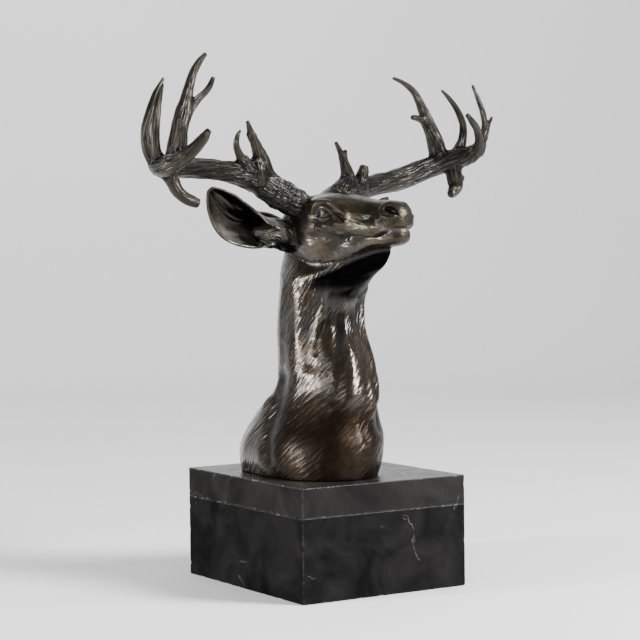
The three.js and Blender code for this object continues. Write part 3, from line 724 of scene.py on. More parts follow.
# %% Antler lines
RIGHT_ANTLER = {
    # ahead, to the left, up, radius
    "beam": [
        (4, -17, 238, 11), (-4, -39, 250, 13.6), (-9, -54, 258.5, 13), (-13, -68, 266, 11.6),
        (-15, -86, 271, 10.4), (-15, -110, 274, 9), (-12, -136, 275, 8.7), (-6, -161, 275, 8.6),
        (4, -187, 275, 9), (17, -207, 275, 8.9), (33, -214, 275, 8.4), (46, -212, 279, 7),
        (56, -206, 287, 5.6), (62, -200, 296, 4.3), (65, -196, 303, 2.6),
    ],
    "outer tine": [
        (12, -206, 275, 6.6), (10, -215, 289, 4.6), (9, -216, 305, 3.8), (9, -210, 323, 3.5),
        (9, -204, 336, 2.8), (10, -196, 349, 1.4),
    ],
    "outer twin": [
        (22, -213, 277, 6), (25, -219, 290, 4.1), (25, -219, 304, 3.8), (24, -216, 321, 3.3),
        (22, -211, 334, 2.5), (18, -204, 343, 1.3),
    ],
    "forked tine": [
        (8, -184, 279, 9), (8, -180, 298, 7.6), (7, -173, 318, 7.2), (5, -165, 338, 4.8),
        (3, -157, 354, 3.9), (1, -148, 365, 3.1), (0, -139, 373, 2),
    ],
    "fork branch": [(6, -171, 318, 6), (8, -157, 332, 3.6), (10, -146, 342, 2.8), (12, -141, 352, 2)],
    "blunt tine": [(32, -203, 277, 8.4), (39, -204, 292, 6), (43, -206, 303, 4.6), (45, -209, 312, 2.8)],
    "drop tine": [
        (14, -197, 273, 8), (16, -193, 263, 6.2), (18, -190, 255, 5.4), (20, -183, 249, 5.2),
        (22, -177, 246, 5), (24, -172, 244, 4),
    ],
    "web": [(-10, -68, 263, 8.6), (-8, -71, 276, 9), (-7, -74, 284, 5.6)],
    "outer web": [(-14, -82, 270, 9), (-10, -85, 280, 6.2), (-8.5, -87, 285.5, 4.4)],
    "brow tine": [
        (-11, -74, 269, 7), (-9, -89, 284, 4.3), (-7, -97, 295, 3), (-6, -97, 303, 2.3),
        (-5, -94, 309, 1.3),
    ],
    "brow twin": [
        (-10, -56, 264, 9.4), (-7, -67, 284, 7), (-5, -76, 298, 4.8), (-3, -83.5, 308, 3.1),
        (-1.5, -88.5, 317, 1.7),
    ],
    "snag": [(-4, -80, 303, 3.4), (-3, -87, 305.5, 1.4)],
}
LEFT_ANTLER = {
    "beam": [
        (4, 16, 238, 11), (-3, 32, 252.5, 13), (-7, 46, 258, 11.8), (-10, 67, 260, 10.2),
        (-12, 95, 264, 10.1), (-11, 122, 269, 10.5), (-8, 148, 277, 10.2), (-2, 166, 283, 10),
        (7, 178, 288, 9.7), (18, 186, 291, 9), (28, 190, 296, 7.2), (34, 192, 303, 5),
    ],
    "forward tine": [
        (22, 188, 292, 6.4), (36, 184, 302, 4.5), (42, 175, 314, 3.7), (46, 163, 322, 3.2),
        (49, 152, 328, 2.3),
    ],
    "knob tine": [
        (-2, 171, 284, 10.4), (-3, 165, 305, 7.8), (-5, 157, 323, 6.6), (-6, 148, 340, 4.6),
        (-8, 140, 353, 3.4), (-9, 126, 361, 2.3), (-10, 113, 365, 1.6),
    ],
    "knob": [(-5, 156, 324, 4.9), (-4, 143, 327, 3.3), (-3, 132, 328, 2.5)],
    "middle tine": [
        (7, 183, 289, 8), (8, 192, 306, 4.7), (9, 193, 321, 3.7), (10, 184, 335, 3.2),
        (11, 171, 346, 2.4), (12, 158, 354, 1.3),
    ],
    "outer tine": [
        (27, 192, 294, 6), (30, 198, 309, 4), (28, 203, 320, 3.4), (25, 204, 333, 2.9),
        (22, 201, 346, 2.4), (19, 196, 360, 1.6),
    ],
    "outer branch": [(30, 198, 310, 4), (29, 206, 320, 2.5), (28, 214, 329, 1.5)],
    "drop tine": [
        (6, 179, 286, 9), (7, 181, 273, 7.8), (8, 182, 263, 7), (9, 177, 257, 5.6), (10, 172, 254, 4),
    ],
    "drop bump": [(7, 184, 271, 5), (8, 192, 270, 3.4)],
    "brow tine": [
        (-6, 46, 262, 8.6), (-4, 40, 276, 5.7), (-2, 33, 287, 3.8), (0, 27, 294, 2.6), (1, 21, 301, 1.7),
    ],
    "brow bump": [(-2, 34, 287, 3.3), (-2, 37, 294, 2.2)],
    "brow twin": [(-7, 59, 259, 8.4), (-4, 62, 272, 6), (-3, 63, 280, 4.2)],
}
PEARLED_LENGTH = 72  # mm of the beam from the skull on which pearls show


def antler_skin(grooves, pearls, seed):
    """Relief round a tube: ridges that run along it, from noise narrow across and long along, plus beads that
    fade out at PEARLED_LENGTH. Thin tips stay smooth."""

    def skin(angle, along, radius):
        across = radius * 0.8
        twist = angle + along / 90
        space = stacked(np.cos(twist) * across, np.sin(twist) * across, along / 22)
        wide = lattice_noise(space, seed)
        narrow = lattice_noise(space * (2.1, 2.1, 1.4), seed + 1)
        ridges = 1.3 * np.abs(wide) - 0.4 + 0.6 * narrow
        strength = grooves * np.clip(radius / 8, 0.25, 1)
        relief = strength * ridges
        if pearls:
            place = stacked(np.cos(angle) * radius, np.sin(angle) * radius, along)
            near = 1 - ramp(PEARLED_LENGTH * 0.45, PEARLED_LENGTH, along)
            relief = relief + 0.8 * pearls * near * (pearl_noise(place / 4.2, seed + 2) - 0.35)
            relief = relief + 1.2 * pearls * near * lattice_noise(place / 7.0, seed + 4)
            relief = relief + 0.5 * pearls * near * (pearl_noise(place / 2.9, seed + 3) - 0.35)
        return relief

    return skin


RIGHT_SEED, LEFT_SEED = 100, 200
limbs = []
for seed, antler in ((RIGHT_SEED, RIGHT_ANTLER), (LEFT_SEED, LEFT_ANTLER)):
    for name, line in antler.items():
        if name == "beam":
            limbs.append(tube(line, 24, 120, antler_skin(1.0, 1.0, seed)))
        else:
            limbs.append(tube(line, 22, 64, antler_skin(0.9, 0, seed + len(limbs))))
LEFT_PEDICLE = [(12, 11, 239, 8), (-2, 14, 245, 11), (-6, 26, 250, 12)]
pedicle = tube(LEFT_PEDICLE, 10, 60)
print(len(limbs), "antler limbs")

# %% [markdown]
# ## Melting the masses together
# A Boolean would leave knife-sharp joints. Instead each mass becomes a distance field: every cube near its
# surface holds how far away that surface is, less than nothing inside. The smaller of two distances joins
# two masses, and rounding that choice over a few millimetres gives the fillet a modeller's thumb leaves.
# Cutting works the same way with the larger of one distance and minus the other.


# %% Closed shells and their distance fields
def shell(grid):
    """Quads between neighbouring rings of a grid that closes on itself, with a fan over each open end."""
    rings, sides = grid.shape[:2]
    index = np.arange(rings * sides).reshape(rings, sides)
    turned = np.roll(index, -1, 1)
    quads = np.stack([index[:-1], turned[:-1], turned[1:], index[1:]], -1).reshape(-1, 4)
    points = np.vstack([grid.reshape(-1, 3), grid[0].mean(0), grid[-1].mean(0)])
    first, last = rings * sides, rings * sides + 1
    start = np.column_stack([turned[0], index[0], np.full(sides, first)])
    end = np.column_stack([index[-1], turned[-1], np.full(sides, last)])
    return points, quads, np.vstack([start, end])


def strip_shell(grid):
    """As shell, but for the ear's thin wall: each open end is closed by a strip across the wall."""
    rings, sides = grid.shape[:2]
    index = np.arange(rings * sides).reshape(rings, sides)
    turned = np.roll(index, -1, 1)
    quads = np.stack([index[:-1], turned[:-1], turned[1:], index[1:]], -1).reshape(-1, 4)
    j = np.arange(sides // 2 - 1)
    strip = np.column_stack([j, j + 1, sides - 2 - j, sides - 1 - j])
    return grid.reshape(-1, 3), np.vstack([quads, strip[:, ::-1], strip + (rings - 1) * sides]), None


wax = openvdb.createLinearTransform(voxelSize=CUBE)
every_grid = [neck, skull, jaw, *ears, *limbs]
low = np.floor(np.min([g.reshape(-1, 3).min(0) for g in every_grid], 0) / CUBE).astype(int) - BAND - 2
high = np.ceil(np.max([g.reshape(-1, 3).max(0) for g in every_grid], 0) / CUBE).astype(int) + BAND + 2
FAR = BAND * CUBE
field = np.full(high - low + 1, FAR, np.float32)
made_by = np.zeros(field.shape, np.uint8)


def distances(points, quads, triangles):
    """The distance field of a closed shell, as the box of cubes that it fills and the values there."""
    grid = openvdb.FloatGrid.createLevelSetFromPolygons(
        points.astype(np.float32),
        triangles=None if triangles is None else triangles.astype(np.uint32),
        quads=quads.astype(np.uint32),
        transform=wax,
        halfWidth=BAND,
    )
    first, last = (np.array(corner) for corner in grid.evalActiveVoxelBoundingBox())
    values = np.empty(last - first + 1, np.float32)
    grid.copyToArray(values, ijk=tuple(int(v) for v in first))
    place = tuple(slice(a, b) for a, b in zip(first - low, last - low + 1))
    return place, values


def join(mesh, kind, fillet):
    """The smaller distance, lowered by fillet * (1 - gap / fillet)^2 / 4 where the gap between the two is
    less than the fillet."""
    place, values = distances(*mesh)
    here = field[place]
    nearness = np.maximum(1 - np.abs(here - values) / fillet, 0)
    made_by[place] = np.where(values < here, kind, made_by[place])
    field[place] = np.minimum(here, values) - nearness**2 * fillet / 4


def cut(mesh, fillet):
    """The larger of the distance and minus the tool's, raised in the same way."""
    place, values = distances(*mesh)
    here = field[place]
    nearness = np.maximum(1 - np.abs(here + values) / fillet, 0)
    field[place] = np.maximum(here, -values) + nearness**2 * fillet / 4


NECK_KIND, HEAD_KIND, EAR_KIND, ANTLER_KIND, EYE_KIND = range(5)
JOINED_FIRST = [
    # masses, kind, fillet in mm
    ([shell(neck)], NECK_KIND, 0.5),
    ([shell(skull)], HEAD_KIND, 4.5),
    ([shell(jaw)], HEAD_KIND, 5),
    (map(shell, face_rolls), HEAD_KIND, 1.6),
    (map(strip_shell, ears), EAR_KIND, 3.6),
    (map(shell, ear_roots), EAR_KIND, 3),
    (map(shell, ear_folds), EAR_KIND, 2.4),
    ([shell(pedicle)], HEAD_KIND, 6),
    (map(shell, limbs), ANTLER_KIND, 3.2),
]
CUTS = [(jaw_furrows, 4), (face_cuts, 1.0), (sockets, 0.8)]
JOINED_LAST = [(map(shell, eyes), EYE_KIND, 0.4), (map(shell, lids), HEAD_KIND, 0.9)]
for masses, kind, fillet in JOINED_FIRST:
    for mass in masses:
        join(mass, kind, fillet)
for strokes, fillet in CUTS:
    for stroke in strokes:
        cut(shell(stroke), fillet)
for masses, kind, fillet in JOINED_LAST:
    for mass in masses:
        join(mass, kind, fillet)
print("wax block of", field.shape, "cubes")

# %% [markdown]
# ## From wax to a mesh
# The surface runs where the distance is zero. The bust is sawn flat at the slab, each point learns which
# mass it came from, and Blender's Decimate modifier thins flat places more than carved ones.

# %% The cast surface
upright = (np.arange(field.shape[2]) + low[2]) * CUBE
field = np.maximum(field, -upright[None, None, :].astype(np.float32))
block = openvdb.FloatGrid(FAR)
block.copyFromArray(np.clip(field, -3 * CUBE, 3 * CUBE))
cast_points, cast_quads = block.convertToQuads(0.0)
cast_points = (cast_points + low) * CUBE
cast_points[:, 2] = np.where(np.abs(cast_points[:, 2]) < 0.3 * CUBE, 0, np.maximum(cast_points[:, 2], 0))
print("cast surface:", len(cast_points), "points,", len(cast_quads), "quads")


def mesh_of(name, points, faces):
    """A mesh from arrays of points in metres and of faces, all with the same number of corners."""
    mesh = bpy.data.meshes.new(name)
    corners = faces.shape[1]
    mesh.vertices.add(len(points))
    mesh.vertices.foreach_set("co", np.ascontiguousarray(points, np.float32).ravel())
    mesh.loops.add(faces.size)
    mesh.loops.foreach_set("vertex_index", np.ascontiguousarray(faces, np.int32).ravel())
    mesh.polygons.add(len(faces))
    mesh.polygons.foreach_set("loop_start", np.arange(0, faces.size, corners, dtype=np.int32))
    mesh.polygons.foreach_set("use_smooth", np.ones(len(faces), bool))
    mesh.update(calc_edges=True)
    mesh.validate()
    return mesh


def placed(name, data):
    """An object that shows a mesh, or is a light or a camera, linked to the scene."""
    thing = bpy.data.objects.new(name, data)
    bpy.context.scene.collection.objects.link(thing)
    return thing


def outward(points, faces):
    """The faces turned so that the volume they enclose counts as positive."""
    a, b, c = (points[faces[:, k]] for k in range(3))
    volume = (a * np.cross(b, c)).sum()
    if faces.shape[1] == 4:
        d = points[faces[:, 3]]
        volume += (a * np.cross(c, d)).sum()
    return faces if volume > 0 else faces[:, ::-1]


cast_mesh = mesh_of("cast", cast_points, outward(cast_points, cast_quads))
cast_object = placed("cast", cast_mesh)
thin = cast_object.modifiers.new("thin", "DECIMATE")
thin.ratio = min(1, MOST_TRIANGLES / (2 * len(cast_quads)))
thinned = cast_object.evaluated_get(bpy.context.evaluated_depsgraph_get()).to_mesh()
points = np.empty(len(thinned.vertices) * 3, np.float32)
thinned.vertices.foreach_get("co", points)
points = points.reshape(-1, 3).astype(float)
thinned.calc_loop_triangles()
triangles = np.empty(len(thinned.loop_triangles) * 3, np.int32)
thinned.loop_triangles.foreach_get("vertices", triangles)
triangles = triangles.reshape(-1, 3)
cast_object.to_mesh_clear()
bpy.data.objects.remove(cast_object)
print("thinned to", len(points), "points and", len(triangles), "triangles")

# %% [markdown]
# ## What each point of the surface knows
# Patina gathers in hollows and is rubbed off ridges, so the surface keeps how hollow it is: its distance
# from its neighbours' average, taken over a few rounds. It also keeps how much it belongs to an antler or an
# ear, softened so that one finish flows into the next.


# %% Hollows, ridges and kinds
def neighbour_average(triangles, values, rounds):
    """Repeats: every point takes the mean of the points that share an edge with it and itself."""
    edges = np.concatenate([triangles[:, [0, 1]], triangles[:, [1, 2]], triangles[:, [2, 0]]])
    here, there = np.vstack([edges, edges[:, ::-1]]).T
    count = np.bincount(here, minlength=len(values)) + 1.0
    values = values.reshape(len(values), -1)
    for _ in range(rounds):
        around = np.column_stack([np.bincount(here, part[there], len(values)) for part in values.T])
        values = (values + around) / count[:, None]
    return values


def softened(values, rounds):
    """One number a point of the casting, averaged with its neighbours' over some rounds."""
    return neighbour_average(triangles, values.astype(float), rounds)[:, 0]


def point_normals(points, triangles):
    """The sum of the area vectors of the triangles round each point, at length one."""
    a, b, c = (points[triangles[:, k]] for k in range(3))
    area = np.cross(b - a, c - a)
    total = np.column_stack(
        [np.bincount(triangles.ravel(), np.repeat(area[:, k], 3), len(points)) for k in range(3)]
    )
    return total / np.maximum(np.linalg.norm(total, axis=1, keepdims=True), 1e-9)


normals = point_normals(points, triangles)
fine_hollow = ((neighbour_average(triangles, points, 2) - points) * normals).sum(1)
broad_hollow = ((neighbour_average(triangles, points, 14) - points) * normals).sum(1)
cell = np.clip(np.rint(points / CUBE).astype(int) - low, 0, np.array(field.shape) - 1)
kind = made_by[cell[:, 0], cell[:, 1], cell[:, 2]]
antler_share = np.clip(softened(kind == ANTLER_KIND, 5), 0, 1)
ear_share = softened(kind == EAR_KIND, 4)
print("hollowness runs from", broad_hollow.min().round(2), "to", broad_hollow.max().round(2), "mm")

# %% [markdown]
# Hair lies in a direction, and so do the grooves of an antler. Each point keeps its place in a space of its
# own, whose third axis runs along the stroke: along the limb's line on an antler, ahead on the face, outwards
# on an ear, and slanting round the neck.

# %% Comb directions
up_high = points[:, 2]
ahead_of_middle, left_of_middle = points @ in_head(1, 0, 0), points @ in_head(0, 1, 0)
comb_head = np.column_stack([left_of_middle, up_high + 0.2 * ahead_of_middle, ahead_of_middle])
comb_ear = np.column_stack([ahead_of_middle, up_high, 1.3 * np.abs(left_of_middle)])
turned = np.arctan2(points[:, 1], points[:, 0]) + STROKE_LEAN * up_high / NECK_RADIUS
comb_neck = np.column_stack([np.cos(turned) * NECK_RADIUS, np.sin(turned) * NECK_RADIUS, up_high])
comb_limb = np.zeros(points.shape)
nearest = np.full(len(points), np.inf)
on_antler = np.flatnonzero(kind == ANTLER_KIND)
for line in (*RIGHT_ANTLER.values(), *LEFT_ANTLER.values()):
    centre, radius = line_points(line, 12)
    centre = in_head(*centre.T)
    along, run = directions(centre)
    side = untwisted(along)
    over = np.cross(along, side)
    here = points[on_antler]
    away = (here**2).sum(1)[:, None] - 2 * here @ centre.T + (centre**2).sum(1) - radius**2
    closest = away.argmin(1)
    gap = away[np.arange(len(here)), closest]
    better = gap < nearest[on_antler]
    which, k = on_antler[better], closest[better]
    nearest[which] = gap[better]
    local = points[which] - centre[k]
    comb_limb[which] = np.column_stack([(local * d[k]).sum(1) for d in (side, over, along)])
    comb_limb[which, 2] += run[k]
comb = np.select(
    [(kind == k)[:, None] for k in (ANTLER_KIND, HEAD_KIND, EAR_KIND, EYE_KIND)],
    [comb_limb, comb_head, comb_ear, comb_head],
    comb_neck,
)
print("points on the antlers:", len(on_antler))

# %% [markdown]
# Shade is painted into the colour where metal stands close round a point: under the jaw, where the antlers
# meet the skull, and only a little inside an ear. To find such occluded places, the block of wax is blurred,
# and each point looks a little way out of its own surface: the more metal there is around that spot, the
# darker the painted shade.

# %% Painted shade in occluded places
COARSE = 3  # cubes to a cell of the blurred block
LOOK_OUT = 9.0  # mm
BLUR_CELLS = round(7 / (COARSE * CUBE))


def box_blur(block, reach, axis):
    """The mean of 2 * reach + 1 neighbours along an axis, from the difference of two running sums."""
    wide = np.pad(block, [(reach + 1, reach) if k == axis else (0, 0) for k in range(3)])
    sums = np.cumsum(wide, axis=axis, dtype=np.float32)
    count = block.shape[axis]
    ahead = np.take(sums, np.arange(2 * reach + 1, 2 * reach + 1 + count), axis=axis)
    behind = np.take(sums, np.arange(count), axis=axis)
    return (ahead - behind) / (2 * reach + 1)


metal_share = (field[::COARSE, ::COARSE, ::COARSE] < 0).astype(np.float32)
for axis in (0, 1, 2) * 3:
    metal_share = box_blur(metal_share, BLUR_CELLS, axis)
seen_from = points + LOOK_OUT * normals
cell = np.clip(np.rint((seen_from / CUBE - low) / COARSE).astype(int), 0, np.array(metal_share.shape) - 1)
# painted shade: the more metal round a point, the darker its colour
occlusion_shade = ramp(0.16, 0.5, metal_share[cell[:, 0], cell[:, 1], cell[:, 2]])
occlusion_shade = softened(occlusion_shade * (1 - 0.85 * ear_share), 3)
print("sheltered on the whole:", occlusion_shade.mean().round(3))

# %% The casting as one object
real_points = points * unit + (0, 0, stag_low[2])
casting = placed("stag_casting", mesh_of("stag_casting", real_points, outward(real_points, triangles)))
print("casting box:", real_points.min(0).round(4), real_points.max(0).round(4))

# %% [markdown]
# The underside of the jaw and all that faces down are painted nearly black as shade and stay dull, the foot
# is painted darker as shade except at the right shoulder, and light is painted on the upward floor of an ear.
# The nose has a tone of its own, and a highlight is painted at the mouth. Each of these places is a share
# from 0 to 1 at every point.

# %% Painted shade, painted light and dull places
BROAD_SHADE, FINE_SHADE = 0.7, 1.6  # how much a millimetre of hollow counts
JAW_LIP = 1.5  # mm below the jaw's edge, where its underside begins
JAW_FADE, JAW_AHEAD, JAW_UP = (0, 3), (8, 22), (158, 172)  # mm below the lip, ahead and up
FACES_DOWN = (0.1, 0.6)  # downward part of the normal
MOUTH_GLINT_PLACE, MOUTH_GLINT_REACH = (98, 219.8), (7, 1.3)  # mm ahead and up
NOSE_AHEAD = (80, 96)
EAR_FLOOR_UP = (240, 224)
EAR_FLOOR_FACING = (-0.2, 0.4)  # upward part of the normal
FOOT_UP = (80, 56)
SHOULDER_BEARING, SHOULDER_WIDTH = -2.3, (0.55, 1.1)  # radians from the front


def keep(mesh, name, values):
    """Stores one number a point on the mesh, for the material to read."""
    layer = mesh.attributes.new(name, "FLOAT", "POINT")
    layer.data.foreach_set("value", np.ascontiguousarray(values, np.float32))


hollow = 0.5 + broad_hollow * BROAD_SHADE * (1 - 0.75 * ear_share)
hollow = hollow + fine_hollow * FINE_SHADE * (1 - 0.6 * ear_share)
# painted shade: nearly black just below the jaw's edge and wherever the surface faces down, except on the
# head and antlers
jaw_edge = curve_through(JAW[:, 0], JAW[:, 2], np.clip(ahead_of_middle, 4, 105)) - JAW_LIP
jaw_underside_shade = ramp(*JAW_FADE, jaw_edge - up_high) * ramp(*JAW_AHEAD, ahead_of_middle) * ramp(*JAW_UP, up_high)
head_share = softened(np.isin(kind, (HEAD_KIND, EYE_KIND, ANTLER_KIND)), 5)
downward_shade = ramp(*FACES_DOWN, -normals[:, 2]) * np.clip(1 - head_share, 0, 1)
# painted highlight: a pale spot between the lips
mouth_glint = bell((ahead_of_middle - MOUTH_GLINT_PLACE[0]) / MOUTH_GLINT_REACH[0]) * bell((up_high - MOUTH_GLINT_PLACE[1]) / MOUTH_GLINT_REACH[1])
# painted light on the upward floor of an ear
lit_ear_floor = ear_share * ramp(*EAR_FLOOR_FACING, normals[:, 2]) * ramp(*EAR_FLOOR_UP, up_high)
from_front = np.arctan2(points[:, 0], -points[:, 1])
off_shoulder = np.abs(np.angle(np.exp(1j * (from_front - SHOULDER_BEARING))))
for name, values in {
    "hollow": np.clip(hollow, 0, 1),
    "occlusion_shade": occlusion_shade,
    "underside": np.maximum(jaw_underside_shade, downward_shade),
    "mouth_glint": mouth_glint,
    "nose": ramp(*NOSE_AHEAD, ahead_of_middle) * (1 - antler_share),
    "lit_ear_floor": softened(lit_ear_floor, 3),
    # painted shade: darker towards the foot, except at the right shoulder
    "foot": ramp(*FOOT_UP, up_high) * ramp(*SHOULDER_WIDTH, off_shoulder),
    "antler": antler_share,
}.items():
    keep(casting.data, name, values)
    print(f"{name} is {values.mean():.3f} on the whole")
comb_layer = casting.data.attributes.new("comb", "FLOAT_VECTOR", "POINT")
comb_layer.data.foreach_set("vector", np.ascontiguousarray(comb * unit * 1000, np.float32).ravel())
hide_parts("bronze_stag")
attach(casting, "root")

# %% [markdown]
# ## The marble stones
# Two sawn blocks with worn arrises. A cube with a Bevel modifier would have even edges, but these are
# chipped. So each stone is a fine grid over a box, and every point is pulled towards an inner box by a
# rounding radius that noise makes larger where a chip has gone.

# %% Stones with worn edges
EDGE_ROUNDING = 0.5  # mm
CHIP_DEPTH = 1.5
CHIPS_ACROSS, CRUMBS_ACROSS = 7.0, 2.6  # mm
GRID_STEP, EDGE_STRIP = 2.6, 1.6  # mm between points, and the strip of finer ones along each edge


def crowded(low, high, step, near):
    """Places from low to high, a step apart in the middle and finer near both ends."""
    edge = np.concatenate([np.linspace(0, near, 7)[:-1], np.arange(near, near * 3, near / 3)])
    middle = np.linspace(low + near * 3, high - near * 3, max(2, int((high - low - 6 * near) / step)))
    return np.concatenate([low + edge, middle, (high - edge)[::-1]])


def stone_surface(low, high, seed):
    """Six grids over a box. A point p is q + r * (p - q) / |p - q|, where q is p held inside the box shrunk
    by r, and r is the rounding, larger in the chips."""
    axes = [crowded(low[k], high[k], GRID_STEP, EDGE_STRIP) for k in range(3)]
    points, faces, start = [], [], 0
    for k in range(3):
        i, j = (k + 1) % 3, (k + 2) % 3
        u, v = np.meshgrid(axes[i], axes[j], indexing="ij")
        for end in (low[k], high[k]):
            sheet = np.empty(u.shape + (3,))
            sheet[..., i], sheet[..., j], sheet[..., k] = u, v, end
            index = np.arange(u.size).reshape(u.shape) + start
            quads = np.stack([index[:-1, :-1], index[1:, :-1], index[1:, 1:], index[:-1, 1:]], -1)
            quads = quads.reshape(-1, 4)
            faces.append(quads if end == high[k] else quads[:, ::-1])
            points.append(sheet.reshape(-1, 3))
            start += u.size
    points, faces = np.vstack(points), np.vstack(faces)
    places, same = np.unique(points.round(4), axis=0, return_inverse=True)
    points, faces = places, same.ravel()[faces]
    chips = lattice_noise(points / CHIPS_ACROSS, seed)
    crumbs = lattice_noise(points / CRUMBS_ACROSS, seed + 1)
    chip = ramp(0.22, 0.62, 0.6 * chips + 0.4 * crumbs)
    radius = (EDGE_ROUNDING + CHIP_DEPTH * chip)[:, None]
    held = np.clip(points, np.array(low) + radius, np.array(high) - radius)
    away = points - held
    length = np.maximum(np.linalg.norm(away, axis=1, keepdims=True), 1e-9)
    off_edge = np.sort(np.minimum(points - low, high - points), 1)[:, 1]
    return held + radius * away / length, faces, off_edge, chip


def stone(node, name, seed, pale):
    """One stone in the place of its CAD node. Each point keeps how far it is from an edge, how chipped it is,
    whether its stone is the paler one and whether it lies on top."""
    low, high = (np.array(corner) * 1000 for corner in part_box(node))
    points, faces, off_edge, chip = stone_surface(low, high, seed)
    faces = outward(points - (low + high) / 2, faces)
    piece = placed(name, mesh_of(name, points / 1000, faces))
    keep(piece.data, "off_edge", off_edge)
    keep(piece.data, "chip", chip)
    keep(piece.data, "pale", np.full(len(points), float(pale)))
    keep(piece.data, "top", ramp(high[2] - 1.5, high[2] - 0.2, points[:, 2]))
    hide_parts(node)
    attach(piece, "root")
    print(name, "has", len(points), "points")
    return piece


upper_stone = stone("plinth_slab", "upper_stone", 61, pale=1)
lower_stone = stone("plinth_block", "lower_stone", 67, pale=0)

# %% [markdown]
# ## Colour and node helpers
# Colours are written as they look on a screen and turned to the linear values that light works in. One
# small function adds any node, sets its values and joins its inputs.


# %% Node helpers
def linear(colour):
    """A hex colour as linear red, green, blue and alpha: each part is ((c + 0.055) / 1.055) to the 2.4."""
    parts = (int(colour[i : i + 2], 16) / 255 for i in (1, 3, 5))
    return (*(c / 12.92 if c <= 0.04045 else ((c + 0.055) / 1.055) ** 2.4 for c in parts), 1.0)


def feed(tree, socket, value):
    """Gives a socket another node's output, a plain value, or a colour written as a hex string."""
    if isinstance(value, bpy.types.NodeSocket):
        tree.links.new(value, socket)
    else:
        socket.default_value = linear(value) if isinstance(value, str) else value


def add_node(tree, kind, settings=None, **inputs):
    """Adds a node. Settings are its own properties. An input is named by its socket, or i0, i1 and so on by
    the socket's number."""
    node = tree.nodes.new(kind)
    for name, value in (settings or {}).items():
        setattr(node, name, value)
    for name, value in inputs.items():
        numbered = name[0] == "i" and name[1:].isdigit()
        feed(tree, node.inputs[int(name[1:]) if numbered else name.replace("_", " ")], value)
    return node


def start_material(name):
    """A new material with its node tree emptied, and the output node ready."""
    material = bpy.data.materials.new(name)
    material.use_nodes = True
    material.node_tree.nodes.clear()
    return material, material.node_tree, add_node(material.node_tree, "ShaderNodeOutputMaterial")


def mapped(tree, value, low, high, to_low=0.0, to_high=1.0):
    """The value moved from low..high to to_low..to_high and held there."""
    span = {"From_Min": low, "From_Max": high, "To_Min": to_low, "To_Max": to_high}
    return add_node(tree, "ShaderNodeMapRange", {"clamp": True}, Value=value, **span).outputs[0]


def mixed(tree, share, first, second):
    """Two colours blended by share."""
    return add_node(tree, "ShaderNodeMix", {"data_type": "RGBA"}, i0=share, i6=first, i7=second).outputs[2]


def maths(tree, operation, *values):
    """An arithmetic node for the first two values, then one more for each further value. An operation on one
    value, such as ABSOLUTE, takes 0 as its second."""
    total = values[0]
    for value in values[1:]:
        total = add_node(tree, "ShaderNodeMath", {"operation": operation}, i0=total, i1=value).outputs[0]
    return total


def noise(tree, space, scale, detail, roughness=0.5, distortion=0.0):
    """Cloudy noise from 0 to 1, whose patches are about 1 / scale across in the units of its space."""
    settings = {"Scale": scale, "Detail": detail, "Roughness": roughness, "Distortion": distortion}
    return add_node(tree, "ShaderNodeTexNoise", Vector=space, **settings).outputs[0]


def kept_value(tree, name):
    """What the mesh keeps for each point under this name."""
    return add_node(tree, "ShaderNodeAttribute", {"attribute_name": name}).outputs["Fac"]


print("screen grey #808080 is linear", round(linear("#808080")[0], 3))

# %% [markdown]
# ## Patinated bronze
# Cast bronze, browned with chemicals and heat and then waxed. The patina is dark and nearly black in the
# hollows, where nobody polishes it. It is rubbed to a warm brown on ridges, with an olive cast on the muzzle
# and forehead and golden brown down the neck. The wax gives a satin gloss with sharp glints. The underside,
# the foot, the antlers and the nose have little wax and a thicker, duller patina, so they mirror less. Shade
# is painted into the colour as well: nearly black under the jaw and on what faces down, darker on the foot
# and in occluded places, with painted light on the floor of an ear and a painted highlight at the mouth.

# %% Patterns of the bronze
HAIR_ACROSS = 2.3  # mm between strokes
GROOVE_ACROSS = 2.6  # mm between the grooves of an antler
RELIEF_DEPTH = 0.5  # mm
HEAD_UP = (185, 225)  # mm above the slab, where the neck's brown turns into the head's olive
bronze, tree, output = start_material("patinated bronze")
object_place = add_node(tree, "ShaderNodeTexCoord").outputs["Object"]
kept = {
    name: kept_value(tree, name)
    for name in ("hollow", "antler", "occlusion_shade", "mouth_glint", "underside", "foot", "nose", "lit_ear_floor")
}
up_in_world = add_node(tree, "ShaderNodeSeparateXYZ", Vector=object_place).outputs[2]
kept["head"] = mapped(tree, up_in_world, *(stag_low[2] + mark * unit for mark in HEAD_UP))
cloudy = noise(tree, object_place, 45.0, 4.0, 0.6)  # clouds 22 mm across
patchy = noise(tree, object_place, 120.0, 3.0, 0.55)  # patches of 8 mm
grain = noise(tree, object_place, 900.0, 2.0)  # the skin of a casting, 1 mm
combed = add_node(tree, "ShaderNodeAttribute", {"attribute_name": "comb"}).outputs["Vector"]
stroke_space = add_node(tree, "ShaderNodeMapping", Vector=combed, Scale=(1.0, 1.0, 0.25)).outputs[0]
groove_space = add_node(tree, "ShaderNodeMapping", Vector=combed, Scale=(1.0, 1.0, 0.05)).outputs[0]
hair = noise(tree, stroke_space, 1 / HAIR_ACROSS, 1.0, 0.5, 0.3)
grooves = noise(tree, groove_space, 1 / GROOVE_ACROSS, 1.0)
off_groove = maths(tree, "ABSOLUTE", maths(tree, "SUBTRACT", grooves, 0.5), 0.0)
groove_ridge = maths(tree, "MULTIPLY", mapped(tree, off_groove, 0.0, 0.14), kept["antler"])
print("patterns of the bronze:", len(tree.nodes), "nodes")

